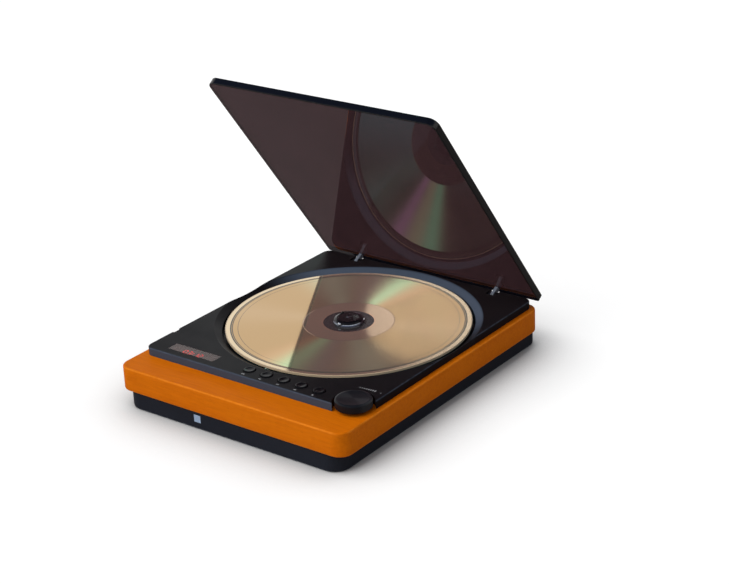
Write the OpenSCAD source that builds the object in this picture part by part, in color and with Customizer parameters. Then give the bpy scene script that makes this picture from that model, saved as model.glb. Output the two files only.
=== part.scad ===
/* [Disc and spindle] */
// Radius of the disc, which the case is drawn round
disc_r = 60; // [57:0.1:64]
// Thickness of the disc
disc_t = 1.2; // [1:0.1:1.4]
// Radius of the disc's centre hole
disc_hole_r = 7.5; // [7.3:0.05:8]
// Depth of the disc's top below the deck's top
disc_sunk = 1.3; // [1:0.1:1.6]
// Radius of the turntable under the disc
table_r = 13; // [11:0.1:13.3]
// Height of the hub above the disc's top
hub_rise = 2.4; // [1.8:0.1:2.8]

/* [Wood frame] */
// Wood beyond the disc's edge at each side
wood_side = 6.6; // [6.2:0.1:10]
// Wood beyond the disc's edge at the front
wood_front = 32.75; // [31.75:0.05:40]
// Wood beyond the disc's edge at the back
wood_back = 8.25; // [7.75:0.05:9]
// Height of the wood frame
wood_h = 12; // [10.5:0.1:16]
// Radius of the wood frame's four upright corners
wood_corner_r = 6.7; // [3:0.1:8]
// Softening of the wood frame's top and bottom edges
wood_edge = 0.9; // [0.4:0.1:1.5]
// Width of the wood at each side of the opening
side_rail = 6.9; // [5.5:0.1:7.5]
// Width of the wood in front of the opening
front_rail = 20; // [18:0.1:20.5]
// Width of the wood behind the opening
back_rail = 9; // [8.5:0.1:9.5]

/* [Plinth] */
// Height of the black plinth under the wood
plinth_h = 8.4; // [8:0.1:14]
// How far the plinth's sides stand in from the wood
plinth_side_inset = 3.3; // [1:0.1:5]
// How far the plinth's front stands in from the wood
plinth_front_inset = 0.8; // [0:0.1:3]
// How far the plinth's back stands out behind the wood
plinth_rear_reach = 3; // [1:0.1:4]
// Radius of the plinth's upright corners
plinth_corner_r = 8; // [4:0.1:10]
// Thickness of the plinth's side and front walls
plinth_wall = 2.2; // [1.6:0.1:3]
// Thickness of the plinth's back wall, which holds the sockets
plinth_rear_wall = 6; // [4:0.1:7]
// Thickness of the plinth's floor
floor_t = 2; // [1.8:0.1:3]
// How far the rubber feet stand out under the plinth
foot_proud = 0.5; // [0.3:0.1:2]
// Radius of each rubber foot
foot_r = 5; // [3:0.1:5.5]

/* [Deck] */
// Wood showing at each side of the deck
deck_side_margin = 2.9; // [2:0.1:4.3]
// Wood showing in front of the deck
deck_front_margin = 16.35; // [15.5:0.05:17]
// Wood showing behind the deck
deck_back_margin = 2.25; // [1.5:0.05:3]
// Height of the deck's rim above the wood
deck_h = 3.9; // [3.5:0.1:6]
// Thickness of the deck's top plate and rim
deck_t = 2; // [1.6:0.1:2.4]
// Radius of the deck's upright corners
deck_corner_r = 4.5; // [2:0.1:7]
// Gap between the disc's edge and the wall of its well
well_gap = 1.5; // [1:0.1:2]
// How far the well's wall flares outwards at its top
well_flare_w = 3.7; // [2.7:0.1:3.9]
// Height of the flare below the deck's top
well_flare_h = 2.2; // [1.5:0.1:3]
// Depth of the well's floor below the deck's top
well_depth = 5; // [4.8:0.1:5.2]
// Thickness of the well's wall and floor
well_wall = 1.5; // [1:0.1:1.6]

/* [Lid] */
// How far the lid's sides stand in from the wood's sides
lid_side_margin = 1.2; // [0.6:0.1:3.5]
// How far the closed lid reaches in front of the deck
lid_front_reach = 1.5; // [0:0.1:4]
// Thickness of the lid
lid_t = 3.8; // [2:0.1:4.5]
// Radius of the lid's front corners
lid_corner_r = 4.5; // [2:0.1:8]
// Radius of the lid's back corners
lid_back_corner_r = 1; // [0.9:0.1:4]
// Bevel of the lid's polished edges
lid_bevel = 0.5; // [0.2:0.1:0.8]
// Angle that the lid stands open
lid_open = 53.3; // [35:0.1:58]
// Distance from the hinge axis to the wood's back
hinge_from_back = 4.9; // [4.7:0.1:5.4]
// Depth of the hinge axis below the deck's top
hinge_sunk = 1.9; // [1.8:0.1:2.1]
// Gap between the closed lid and the deck
lid_gap = 2.7; // [2.6:0.1:4]
// How far the closed lid reaches behind the hinge axis
lid_behind = 3.8; // [3:0.1:4.2]
// Distance of each hinge from the side of the wood
hinge_from_side = 24.3; // [22:0.1:28]
// Width of each hinge lug
lug_w = 1.6; // [1.4:0.1:3]
// Radius of each hinge pin
hinge_pin_r = 0.9; // [0.6:0.1:1.1]

/* [Controls] */
// Distance between two buttons
button_pitch = 10.15; // [8.5:0.05:10.3]
// Distance from the middle button to the volume knob
button_to_knob = 39.5; // [39:0.1:42]
// Radius of each button
button_r = 2.9; // [2.2:0.1:3.2]
// How far a button goes down
button_travel = 0.5; // [0.3:0.1:0.6]
// Distance from the deck's front edge to the buttons and the knob
controls_from_front = 6.95; // [6.5:0.05:7.4]
// Distance of the volume knob from the side of the wood
knob_from_side = 11.3; // [10.8:0.1:12.5]
// Radius of the volume knob
knob_r = 8.6; // [7:0.1:9]
// Height of the volume knob
knob_h = 4.2; // [3:0.1:4.4]
// Gap between the volume knob and the deck round it
knob_gap = 1.2; // [0.8:0.1:1.6]
// Height of the volume knob above the wood
knob_lift = 1.4; // [0.8:0.1:1.6]
// Radius of the volume knob's shaft
knob_shaft_r = 3; // [2.5:0.1:3.2]
// Width of the display window
window_w = 27.8; // [20:0.1:28.2]
// Depth of the display window
window_d = 6.4; // [5:0.1:6.8]
// Distance of the display window's middle from the side of the wood
window_from_side = 27.7; // [26:0.1:29]

/* [Drive] */
// Radius of each guide rod
rod_r = 1.5; // [1:0.1:1.8]
// Distance of each guide rod from the middle
rod_x = 14; // [13:0.1:14.5]
// Distance from the disc's edge to the pickup at the end of its travel
sled_margin = 3; // [3:0.1:6]
// Distance from the spindle to the pickup at the start of its travel
sled_start = 25; // [24.5:0.5:26]
// Tooth module of the rack and pinion
tooth_module = 1; // [0.9:0.05:1]
// Teeth on the pinion
pinion_teeth = 12; // [12:1:13]
// Radius of the spindle motor
spindle_motor_r = 10; // [8:0.1:11]
// Radius of the sled motor
sled_motor_r = 6; // [4:0.1:7]

/* [Sockets and wall mount] */
// Distance of each keyhole from the side of the wood
keyhole_from_side = 26.6; // [25.5:0.1:34]
// Radius of a keyhole's round entry
keyhole_r = 4; // [3:0.1:4.5]
// Width of a keyhole's slot
keyhole_slot_w = 4.2; // [3:0.1:4.4]
// Length of a keyhole's slot beyond the entry's centre
keyhole_slot_l = 8; // [6:0.1:9]
// Radius of the audio socket's bore
jack_r = 1.8; // [1.75:0.05:1.9]
// Place of the audio socket to the right of the middle
jack_x = 8; // [6:0.5:12]
// Place of the power inlet to the left of the middle
inlet_x = 12; // [8:0.5:14]
// Place of the power switch to the right of the middle
switch_x = 21; // [20:0.5:22]

/* [Hidden] */
$fn = 64;

// Running clearance of a shaft in its bore
run = 0.05;
// Gap between pieces that move past each other
gap = 0.3;
// Small reach of a cut past the face that it opens
cut = 1;

// Widths and radii that follow from the disc
wood_w = 2 * (disc_r + wood_side);
wood_d = 2 * disc_r + wood_front + wood_back;
deck_w = wood_w - 2 * deck_side_margin;
deck_d = wood_d - deck_front_margin - deck_back_margin;
lid_w = wood_w - 2 * lid_side_margin;
well_r = disc_r + well_gap;
well_rim_r = well_r + well_flare_w;
hinge_x = wood_w / 2 - hinge_from_side;
knob_x = wood_w / 2 - knob_from_side;
button_mid_x = knob_x - button_to_knob;
window_x = wood_w / 2 - window_from_side;
keyhole_x = wood_w / 2 - keyhole_from_side;
sled_travel = disc_r - sled_margin - sled_start;

// Heights from the table upwards
plinth_z = foot_proud;
floor_z = plinth_z + floor_t;
wood_z = plinth_z + plinth_h;
wood_top = wood_z + wood_h;
deck_z = wood_top + deck_h;
deck_under = deck_z - deck_t;
disc_z = deck_z - disc_sunk;
disc_under = disc_z - disc_t;
well_z = deck_z - well_depth;
well_under = well_z - well_wall;
hinge_z = deck_z - hinge_sunk;
lid_z = deck_z + lid_gap;
knob_z = wood_top + knob_lift;

// Places from the front to the back
lid_overhang = (lid_behind - lid_bevel) * cos(lid_open) + lid_bevel - hinge_from_back
    + (hinge_sunk + lid_gap + lid_t - lid_bevel) * sin(lid_open);
depth = round(10 * (wood_d + max(plinth_rear_reach, lid_overhang))) / 10;
front_y = -depth / 2;
back_y = front_y + wood_d;
plinth_front = front_y + plinth_front_inset;
plinth_back = depth / 2;
plinth_w = wood_w - 2 * plinth_side_inset;
deck_front = front_y + deck_front_margin;
deck_back = deck_front + deck_d;
disc_y = front_y + wood_front + disc_r;
hinge_y = back_y - hinge_from_back;
controls_y = deck_front + controls_from_front;
opening_w = wood_w - 2 * side_rail;
opening_front = front_y + front_rail;
opening_back = back_y - back_rail;
inner_front = plinth_front + plinth_wall;
inner_back = plinth_back - plinth_rear_wall;
inner_w = plinth_w - 2 * plinth_wall;

// Deck details
deck_edge = 0.5;
rim_land = well_rim_r + 1.8;
bowl_r = well_r + well_wall;
bowl_gap = 0.5;
notch_r = knob_r + knob_gap;
knob_pad_r = notch_r + 1.6;
hub_hole_r = table_r + 1;
lens_slot_w = 18;
side_notch_l = 4.8;
side_notch_d = 1.2;
side_notch_from_front = 22.05;

// Case screws and the posts that they join
screw_x = wood_w / 2 - 11.1;
screw_front_y = deck_front + 22.65;
screw_back_y = opening_back - 5;
screw_places = [for (x = [-screw_x, screw_x], y = [screw_front_y, screw_back_y]) [x, y]];
screw_r = 1.2;
screw_head_r = 3;
screw_head_h = 1.5;
case_post_r = 4;
deck_post_r = 3.2;
post_join_z = wood_z + 1.1;
pilot_l = 9;

// Rubber feet
foot_x = plinth_w / 2 - 13.3;
foot_seat = 0.8;
foot_places = [for (x = [-foot_x, foot_x], y = [plinth_front + 8.2, plinth_back - 8]) [x, y]];

// Boards
board_gap = 0.4;
board_t = 1;
board_z = floor_z + board_gap;
board_top = board_z + board_t;
board_w = opening_w - 1.4;
board_front = inner_front + 2;
board_rear_room = 26;
board_back = inner_back - board_rear_room;
tongue_w = 2 * (keyhole_x - keyhole_r - 9);
tongue_back = inner_back - 0.5;
board_screw_r = 1;
board_screw_places = [for (s = [-1, 1], p = [[foot_x - 11, board_front + 4],
    [board_w / 2 - 13, board_back - 6], [tongue_w / 2 - 5, tongue_back - 18]])
    [s * p[0], p[1]]];
standoff_r = 2.4;

// Drive frame under the disc
frame_t = 1.2;
frame_z = wood_z + 0.7;
frame_top = frame_z + frame_t;
frame_half_w = 0.6 * disc_r;
frame_front = opening_front + 3;
frame_back = disc_y + spindle_motor_r + 17;
damper_places = [for (x = [5 - frame_half_w, frame_half_w - 5],
    y = [frame_front + 7, frame_back - 7]) [x, y]];
damper_post_r = 3;
damper_r = 5;
damper_waist_r = 3.5;
damper_flange = 0.9;
damper_slack = 0.1;
damper_z = frame_z - damper_slack - damper_flange;
damper_top = frame_top + damper_slack + damper_flange;
damper_screw_r = 1.4;
damper_head_r = 3.2;
damper_head_h = 1.5;

// Pickup sled, its rods and its rack
rod_z = frame_top + 3.3;
sled_half_l = 8;
sled_half_w = 10;
sled_z = frame_top + 0.7;
sled_top = frame_top + 5.9;
sled_y = disc_y - sled_start;
rod_block_l = 3;
rod_block_half_w = 2.6;
rod_block_rise = 2.4;
rod_front = sled_y - sled_travel - sled_half_l - rod_block_l - 0.5;
rod_back = sled_y + sled_half_l + rod_block_l + 1.5;
bushing_r = rod_r + 1.5;
lens_r = 3.2;
lens_z = disc_under - 1.4;
rack_z = rod_z + 1;
rack_t = 1.8;
rack_back_x = rod_x + 3;
pitch_x = rod_x + 6;
pinion_pitch_r = tooth_module * pinion_teeth / 2;
pinion_x = pitch_x + pinion_pitch_r;
pinion_y = sled_y + 0.25 * PI * tooth_module;
pinion_t = 2;
pinion_z = rack_z;
pinion_shaft_r = 0.8;
sled_motor_top = pinion_z - gap;
backlash = 0.25;
pressure_angle = 20;
gear_addendum = 0.8 * tooth_module;
gear_dedendum = 1.15 * tooth_module;
rack_addendum = 0.7 * tooth_module;
rack_dedendum = 1.1 * tooth_module;
tooth_pitch = PI * tooth_module;
rack_before = 2;
rack_after = 12;

// Spindle
motor_top = well_under - 0.3;
spindle_shaft_r = 1;
pad_t = 0.4;
table_t = 1.5;
table_top = disc_under - pad_t;
table_z = table_top - table_t;
hub_r = disc_hole_r - 0.15;
hub_z = table_top;
ring_top = disc_z + 1.1;
hub_top = disc_z + hub_rise;
cap_r = hub_r - 0.25;
ball_r = 0.9;

// Controls
button_places = [for (i = [-2 : 2]) button_mid_x + i * button_pitch];
button_proud = 0.4;
button_hole_r = button_r + gap;
flange_r = button_r + 0.8;
flange_t = 0.6;
flange_top = deck_under - gap;
button_under = flange_top - flange_t - 0.6;
plunger_top = button_under - button_travel - gap;
plunger_h = 0.5;
switch_body_h = 1.6;
key_board_t = 1;
key_board_top = plunger_top - plunger_h - switch_body_h;
key_board_z = key_board_top - key_board_t;
key_board_l = 5 * button_pitch + 2;
key_board_w = 7.2;
key_post_r = 1.6;
key_post_x = 2 * button_pitch + 4.2;
window_ledge = 1;
window_t = 1.5;
display_h = 3.4;
shaft_top = knob_z + knob_h - 1.4;
pot_r = 4.2;
pot_top = wood_z - 0.6;
spigot_r = 1.5;

// Hinges
lug_r = hinge_pin_r + 1;
lug_tip_d = 2.2;
ear_r = 1.9;
ear_t = 1;
ear_in = lug_w / 2 + gap;
bracket_half_w = ear_in + ear_t;
slot_half_w = bracket_half_w + 0.4;
pocket_half_w = 6.5;
pocket_under = 5.2;
pocket_z = hinge_z - pocket_under;
pocket_front = hinge_y - 4.1;
pocket_back = hinge_y + 2.9;
bracket_t = 1;
lid_front_y = deck_front - lid_front_reach;
lid_back_y = hinge_y + lid_behind;

// Sockets
inlet_w = 9;
inlet_h = 3.2;
inlet_l = 9;
inlet_wall = 0.35;
jack_w = 6.4;
jack_h = 4.2;
jack_l = 12;
jack_z = board_top + jack_h / 2;
socket_gap = 0.15;
switch_w = 9;
switch_h = 4;
switch_recess = 1.2;
switch_slot_w = 6.4;
switch_slot_h = 2.2;
slider_w = 3;
slider_travel = 2;
slider_face = plinth_back - 0.1;
switch_depth = 5.5;
switch_front = plinth_back - switch_recess - switch_depth;
ir_w = 4;
ir_h = 3.8;
ir_x = -18.6;
ir_rise = 5;
ir_z = plinth_z + ir_rise;
ir_plate = 1.2;
ir_ledge = 0.5;
keyhole_from_back = 10;
keyhole_y = opening_back - keyhole_from_back;

// A flat rectangle with round corners, centred on X and reaching from y0 to y1
module round_rect(w, y0, y1, r) {
    translate([-w / 2 + r, y0]) square([w - 2 * r, y1 - y0]);
    translate([-w / 2, y0 + r]) square([w, y1 - y0 - 2 * r]);
    for (x = [-w / 2 + r, w / 2 - r], y = [y0 + r, y1 - r]) translate([x, y]) circle(r = r);
}

// The side view of a slab, w wide and h high, whose outer edges are rounded
module slab_view(w, h, top, bottom) {
    translate([-w / 2 + top, 0]) square([w - 2 * top, h]);
    translate([-w / 2, bottom]) square([w, h - top - bottom]);
    for (x = [-w / 2 + top, w / 2 - top]) translate([x, h - top]) circle(r = top);
    for (x = [-w / 2 + bottom, w / 2 - bottom]) translate([x, bottom]) circle(r = bottom);
}

// A slab with round corners and rounded edges, centred on X and reaching from y0 to y1
module soft_slab(w, y0, y1, r_front, r_back, z0, z1, top, bottom) {
    h = z1 - z0;
    middle = (y0 + y1) / 2;
    spans = r_front == r_back ? [[y0, y1, r_front]] : [[y0, middle + 3, r_front], [middle - 5, y1, r_back]];
    translate([0, y1 - r_back, z0]) rotate([90, 0, 0])
        linear_extrude(y1 - y0 - r_front - r_back) slab_view(w, h, top, bottom);
    for (e = spans)
        translate([-w / 2 + e[2], (e[0] + e[1]) / 2, z0]) rotate([90, 0, 90])
            linear_extrude(w - 2 * e[2]) slab_view(e[1] - e[0], h, top, bottom);
    for (s = [-1, 1], c = [[y0 + r_front, r_front], [y1 - r_back, r_back]])
        translate([s * (w / 2 - c[1]), c[0], z0]) rotate_extrude()
            intersection() {
                slab_view(2 * c[1], h, top, bottom);
                square([c[1], h]);
            }
}

module block(x0, x1, y0, y1, z0, z1) {
    translate([x0, y0, z0]) cube([x1 - x0, y1 - y0, z1 - z0]);
}

module post(x, y, r, z0, z1) {
    translate([x, y, z0]) cylinder(r = r, h = z1 - z0);
}

// The opening in the wood, with a round pad left under the knob
module wood_opening() {
    difference() {
        translate([-opening_w / 2, opening_front]) square([opening_w, opening_back - opening_front]);
        translate([knob_x, controls_y]) circle(r = knob_pad_r);
    }
    translate([0, disc_y]) circle(r = bowl_r + bowl_gap, $fn = 128);
}

module wood_frame() {
    color([0.78, 0.43, 0.06])
    difference() {
        soft_slab(wood_w, front_y, back_y, wood_corner_r, wood_corner_r, wood_z, wood_top,
            wood_edge, wood_edge);
        translate([0, 0, wood_z - cut]) linear_extrude(wood_h + 2 * cut) wood_opening();
        post(knob_x, controls_y, knob_shaft_r + 0.5, wood_z - cut, wood_top + cut);
        for (x = [-hinge_x, hinge_x])
            block(x - pocket_half_w, x + pocket_half_w, pocket_front - cut, pocket_back, pocket_z,
                wood_top + cut);
    }
}

module keyhole(x) {
    post(x, keyhole_y, keyhole_r, plinth_z - cut, floor_z + cut);
    block(x - keyhole_slot_w / 2, x + keyhole_slot_w / 2, keyhole_y, keyhole_y + keyhole_slot_l,
        plinth_z - cut, floor_z + cut);
    post(x, keyhole_y + keyhole_slot_l, keyhole_slot_w / 2, plinth_z - cut, floor_z + cut);
}

module plinth() {
    color([0.10, 0.10, 0.13])
    difference() {
        union() {
            difference() {
                soft_slab(plinth_w, plinth_front, plinth_back, plinth_corner_r, plinth_corner_r,
                    plinth_z, wood_z, 0.2, 0.8);
                translate([0, 0, floor_z]) linear_extrude(plinth_h)
                    round_rect(inner_w, inner_front, inner_back, plinth_corner_r - plinth_wall);
            }
            for (p = screw_places) post(p[0], p[1], case_post_r, floor_z - 0.5, post_join_z);
            for (p = damper_places) post(p[0], p[1], damper_post_r, floor_z - 0.5, damper_z);
            for (p = board_screw_places) post(p[0], p[1], standoff_r, floor_z - 0.5, board_z);
        }
        for (p = screw_places) {
            post(p[0], p[1], screw_r + 0.4, plinth_z, post_join_z + cut);
            post(p[0], p[1], screw_head_r + gap, plinth_z - cut, floor_z);
        }
        for (p = damper_places) post(p[0], p[1], damper_screw_r + run, floor_z + 0.7, damper_z + cut);
        for (p = board_screw_places) post(p[0], p[1], board_screw_r + run, plinth_z + 0.7, board_z + cut);
        for (p = foot_places) post(p[0], p[1], foot_r + 0.1, plinth_z - cut, plinth_z + foot_seat);
        for (x = [-keyhole_x, keyhole_x]) keyhole(x);
        block(-inlet_x - inlet_w / 2 - socket_gap, -inlet_x + inlet_w / 2 + socket_gap, inner_back - cut,
            plinth_back + cut, board_top - socket_gap, board_top + inlet_h + socket_gap);
        block(jack_x - jack_w / 2 - socket_gap, jack_x + jack_w / 2 + socket_gap, inner_back - cut,
            plinth_back + cut, board_top - socket_gap, board_top + jack_h + socket_gap);
        block(switch_x - switch_w / 2 - socket_gap, switch_x + switch_w / 2 + socket_gap, inner_back - cut,
            plinth_back - switch_recess, board_top - socket_gap, board_top + switch_h + socket_gap);
        block(switch_x - switch_slot_w / 2, switch_x + switch_slot_w / 2, plinth_back - 2 * switch_recess,
            plinth_back + cut, board_top + switch_h / 2 - switch_slot_h / 2,
            board_top + switch_h / 2 + switch_slot_h / 2);
        block(ir_x - ir_w / 2, ir_x + ir_w / 2, plinth_front - cut, plinth_front + ir_plate,
            ir_z - ir_h / 2, ir_z + ir_h / 2);
        block(ir_x - ir_w / 2 + ir_ledge, ir_x + ir_w / 2 - ir_ledge, plinth_front - cut, inner_front + cut,
            ir_z - ir_h / 2 + ir_ledge, ir_z + ir_h / 2 - ir_ledge);
    }
}

module feet() {
    color([0.06, 0.06, 0.06])
        for (p = foot_places) post(p[0], p[1], foot_r, 0, plinth_z + foot_seat);
}

module case_screws() {
    color([0.55, 0.55, 0.58])
        for (p = screw_places)
            difference() {
                union() {
                    post(p[0], p[1], screw_head_r, floor_z - screw_head_h, floor_z);
                    post(p[0], p[1], screw_r, floor_z - 0.5, post_join_z + pilot_l - 1);
                }
                for (a = [0, 90])
                    translate([p[0], p[1], floor_z - screw_head_h - cut + 0.8]) rotate(a)
                        translate([-1.6, -0.3, 0]) cube([3.2, 0.6, cut]);
            }
}

// The deck's outline from above, with the knob's notch left uncut
module deck_pocket() {
    difference() {
        round_rect(deck_w - 2 * deck_t, deck_front + deck_t, deck_back - deck_t, deck_corner_r - deck_t);
        translate([0, disc_y]) circle(r = rim_land, $fn = 96);
        translate([knob_x, controls_y]) circle(r = notch_r + deck_t);
        for (x = [-hinge_x, hinge_x])
            translate([x - slot_half_w - 1, pocket_front - 1])
                square([2 * slot_half_w + 2, deck_back - pocket_front]);
    }
}

module deck() {
    color([0.11, 0.11, 0.13])
    difference() {
        union() {
            difference() {
                soft_slab(deck_w, deck_front, deck_back, deck_corner_r, deck_corner_r, wood_top, deck_z,
                    deck_edge, 0.1);
                translate([0, 0, wood_top - cut]) linear_extrude(deck_h - deck_t + cut) deck_pocket();
            }
            post(0, disc_y, bowl_r, well_under, wood_top + 0.5);
            for (p = screw_places) post(p[0], p[1], deck_post_r, post_join_z, deck_under + 0.5);
            for (s = [-1, 1]) post(button_mid_x + s * key_post_x, controls_y, key_post_r,
                key_board_top, deck_under + 0.5);
        }
        translate([0, disc_y, 0]) {
            translate([0, 0, well_z]) cylinder(r = well_r, h = well_depth + cut, $fn = 128);
            translate([0, 0, deck_z - well_flare_h])
                cylinder(r1 = well_r, r2 = well_rim_r + (well_rim_r - well_r) / well_flare_h * cut,
                    h = well_flare_h + cut, $fn = 128);
            translate([0, 0, well_under - cut]) cylinder(r = hub_hole_r, h = well_depth);
        }
        block(-lens_slot_w / 2, lens_slot_w / 2, disc_y - well_r + 0.5, disc_y, well_under - cut,
            well_z + cut);
        post(knob_x, controls_y, notch_r, wood_top - cut, deck_z + cut);
        for (x = button_places) {
            post(x, controls_y, button_hole_r, deck_under - cut, deck_z + cut);
            post(x, controls_y, flange_r + gap, wood_top - cut, deck_under);
        }
        for (p = screw_places) post(p[0], p[1], screw_r + run, post_join_z - cut, post_join_z + pilot_l);
        window_cut(window_w, window_d, deck_z - window_t, deck_z + cut);
        window_cut(window_w - 2 * window_ledge, window_d - 2 * window_ledge, deck_under - cut, deck_z);
        for (x = [-hinge_x, hinge_x])
            block(x - slot_half_w, x + slot_half_w, hinge_y - 3.2, deck_back + cut, wood_top - cut,
                deck_z + cut);
        block(-deck_w / 2 - cut, -deck_w / 2 + side_notch_d,
            deck_front + side_notch_from_front - side_notch_l / 2,
            deck_front + side_notch_from_front + side_notch_l / 2, wood_top - cut, deck_z + cut);
    }
}

module window_cut(w, d, z0, z1) {
    block(-window_x - w / 2, -window_x + w / 2, controls_y + 0.8 - d / 2, controls_y + 0.8 + d / 2, z0, z1);
}

module display_window() {
    color([0.28, 0.24, 0.24])
        window_cut(window_w - 0.1, window_d - 0.1, deck_z - window_t, deck_z - 0.05);
}

module display_module() {
    color([0.35, 0.05, 0.05])
        window_cut(window_w - 2 * window_ledge - 1, window_d - window_ledge, deck_under - display_h,
            deck_under);
}

module main_board() {
    color([0.05, 0.28, 0.14])
    difference() {
        union() {
            block(-board_w / 2, board_w / 2, board_front, board_back, board_z, board_top);
            block(-tongue_w / 2, tongue_w / 2, board_back - cut, tongue_back, board_z, board_top);
        }
        for (p = screw_places) post(p[0], p[1], case_post_r + 0.4, board_z - cut, board_top + cut);
        for (p = damper_places) post(p[0], p[1], damper_post_r + 0.4, board_z - cut, board_top + cut);
        for (p = board_screw_places) post(p[0], p[1], board_screw_r + 0.2, board_z - cut, board_top + cut);
    }
}

// Chips, coils and capacitors, placed and sized in shares of the board's width and thickness
module board_parts() {
    color([0.12, 0.12, 0.12])
        for (c = [[0, 0.20, 0.12, 0.12, 1.4], [0.17, 0.25, 0.07, 0.06, 1.2], [-0.14, 0.22, 0.07, 0.07, 1.6],
                  [-0.05, 0.52, 0.09, 0.09, 1.4], [0.17, 0.62, 0.06, 0.06, 2.6],
                  [-0.39, 0.42, 0.05, 0.08, 2.8]])
            block((c[0] - c[2] / 2) * board_w, (c[0] + c[2] / 2) * board_w,
                board_front + (c[1] - c[3] / 2) * board_w,
                board_front + (c[1] + c[3] / 2) * board_w, board_top, board_top + c[4] * board_t);
}

module board_screws() {
    color([0.6, 0.6, 0.62])
        for (p = board_screw_places) {
            post(p[0], p[1], 1.9, board_top, board_top + 1.2);
            post(p[0], p[1], board_screw_r, plinth_z + 0.9, board_top + 0.5);
        }
}

module ir_window() {
    color([0.62, 0.70, 0.82])
        block(ir_x - ir_w / 2 + run, ir_x + ir_w / 2 - run, plinth_front, plinth_front + ir_plate,
            ir_z - ir_h / 2 + run, ir_z + ir_h / 2 - run);
}

module ir_receiver() {
    color([0.15, 0.15, 0.17])
        block(ir_x - 2.5, ir_x + 2.5, board_front + 0.3, board_front + 3.3, board_top, ir_z + 1.6);
}

module power_inlet() {
    color([0.72, 0.72, 0.74])
        translate([-inlet_x, plinth_back - 0.2, board_top + inlet_h / 2]) rotate([90, 0, 0]) {
            difference() {
                linear_extrude(inlet_l) inlet_shape(0);
                translate([0, 0, -cut]) linear_extrude(inlet_l - 1 + cut) inlet_shape(inlet_wall);
            }
            translate([-3.3, -0.35, 1.2]) cube([6.6, 0.7, inlet_l - 1.5]);
        }
}

// The inlet's stadium outline, drawn in by a wall
module inlet_shape(wall) {
    r = inlet_h / 2 - wall;
    x = inlet_w / 2 - inlet_h / 2;
    for (s = [-x, x]) translate([s, 0]) circle(r = r);
    translate([-x, -r]) square([2 * x, 2 * r]);
}

module audio_jack() {
    color([0.08, 0.08, 0.08])
    difference() {
        block(jack_x - jack_w / 2, jack_x + jack_w / 2, plinth_back - 0.2 - jack_l, plinth_back - 0.2,
            board_top, board_top + jack_h);
        translate([jack_x, plinth_back + cut, jack_z]) rotate([90, 0, 0])
            cylinder(r = jack_r, h = jack_l - 1 + cut);
    }
}

module power_switch() {
    color([0.2, 0.2, 0.22])
    difference() {
        block(switch_x - switch_w / 2, switch_x + switch_w / 2, switch_front,
            plinth_back - switch_recess - 0.8,
            board_top, board_top + switch_h);
        block(switch_x - slider_w / 2 - slider_travel / 2 - gap,
            switch_x + slider_w / 2 + slider_travel / 2 + gap,
            switch_front + 1.5, plinth_back, board_top + switch_h / 2 - 1, board_top + switch_h / 2 + 1);
    }
}

module power_slider() {
    color([0.75, 0.75, 0.75])
        block(switch_x - slider_travel / 2 - slider_w / 2, switch_x - slider_travel / 2 + slider_w / 2,
            switch_front + 1.5 + gap, slider_face, board_top + switch_h / 2 - 0.8,
            board_top + switch_h / 2 + 0.8);
}

module drive_frame() {
    color([0.66, 0.67, 0.70])
    difference() {
        union() {
            block(-frame_half_w, frame_half_w, frame_front, frame_back, frame_z, frame_top);
            for (x = [-rod_x, rod_x], y = [rod_front, rod_back - rod_block_l])
                block(x - rod_block_half_w, x + rod_block_half_w, y, y + rod_block_l, frame_top - 0.2,
                    rod_z + rod_block_rise);
        }
        for (p = damper_places) post(p[0], p[1], damper_waist_r + 0.1, frame_z - cut, frame_top + cut);
        for (x = [-rod_x, rod_x])
            translate([x, rod_front + 0.8, rod_z]) rotate([-90, 0, 0])
                cylinder(r = rod_r + 0.02, h = rod_back - rod_front - 1.6);
        block(-sled_half_w + 2, sled_half_w - 2, rod_front + 6, sled_y + 4, frame_z - cut, frame_top + cut);
        post(-0.7 * frame_half_w, disc_y - 12, 6, frame_z - cut, frame_top + cut);
    }
}

module dampers() {
    color([0.13, 0.13, 0.14])
        for (p = damper_places) translate([p[0], p[1], 0])
            rotate_extrude() polygon([[damper_screw_r + run, damper_z], [damper_r, damper_z],
                [damper_r, frame_z - damper_slack], [damper_waist_r, frame_z - damper_slack],
                [damper_waist_r, frame_top + damper_slack], [damper_r, frame_top + damper_slack],
                [damper_r, damper_top], [damper_screw_r + run, damper_top]]);
}

module drive_screws() {
    color([0.6, 0.6, 0.62])
        for (p = damper_places) {
            post(p[0], p[1], damper_head_r, damper_top, damper_top + damper_head_h);
            post(p[0], p[1], damper_screw_r, floor_z + 1, damper_top + 0.5);
        }
}

module guide_rods() {
    color([0.8, 0.8, 0.82])
        for (x = [-rod_x, rod_x])
            translate([x, rod_front + 0.9, rod_z]) rotate([-90, 0, 0])
                cylinder(r = rod_r, h = rod_back - rod_front - 1.8);
}

module sled_motor() {
    color([0.7, 0.7, 0.72])
    difference() {
        post(pinion_x, pinion_y, sled_motor_r, frame_top, sled_motor_top);
        post(pinion_x, pinion_y, pinion_shaft_r + run, frame_top + 1, sled_motor_top + cut);
    }
}

// A point on the involute of a base circle, a degrees along its unwinding
function involute(base_r, a) =
    base_r * [cos(a) + a * PI / 180 * sin(a), sin(a) - a * PI / 180 * cos(a)];
// The unwinding angle at which an involute reaches radius r
function unwound(base_r, r) = sqrt(pow(max(r / base_r, 1), 2) - 1) * 180 / PI;
function turned(p, a) = [p[0] * cos(a) - p[1] * sin(a), p[0] * sin(a) + p[1] * cos(a)];

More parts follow.
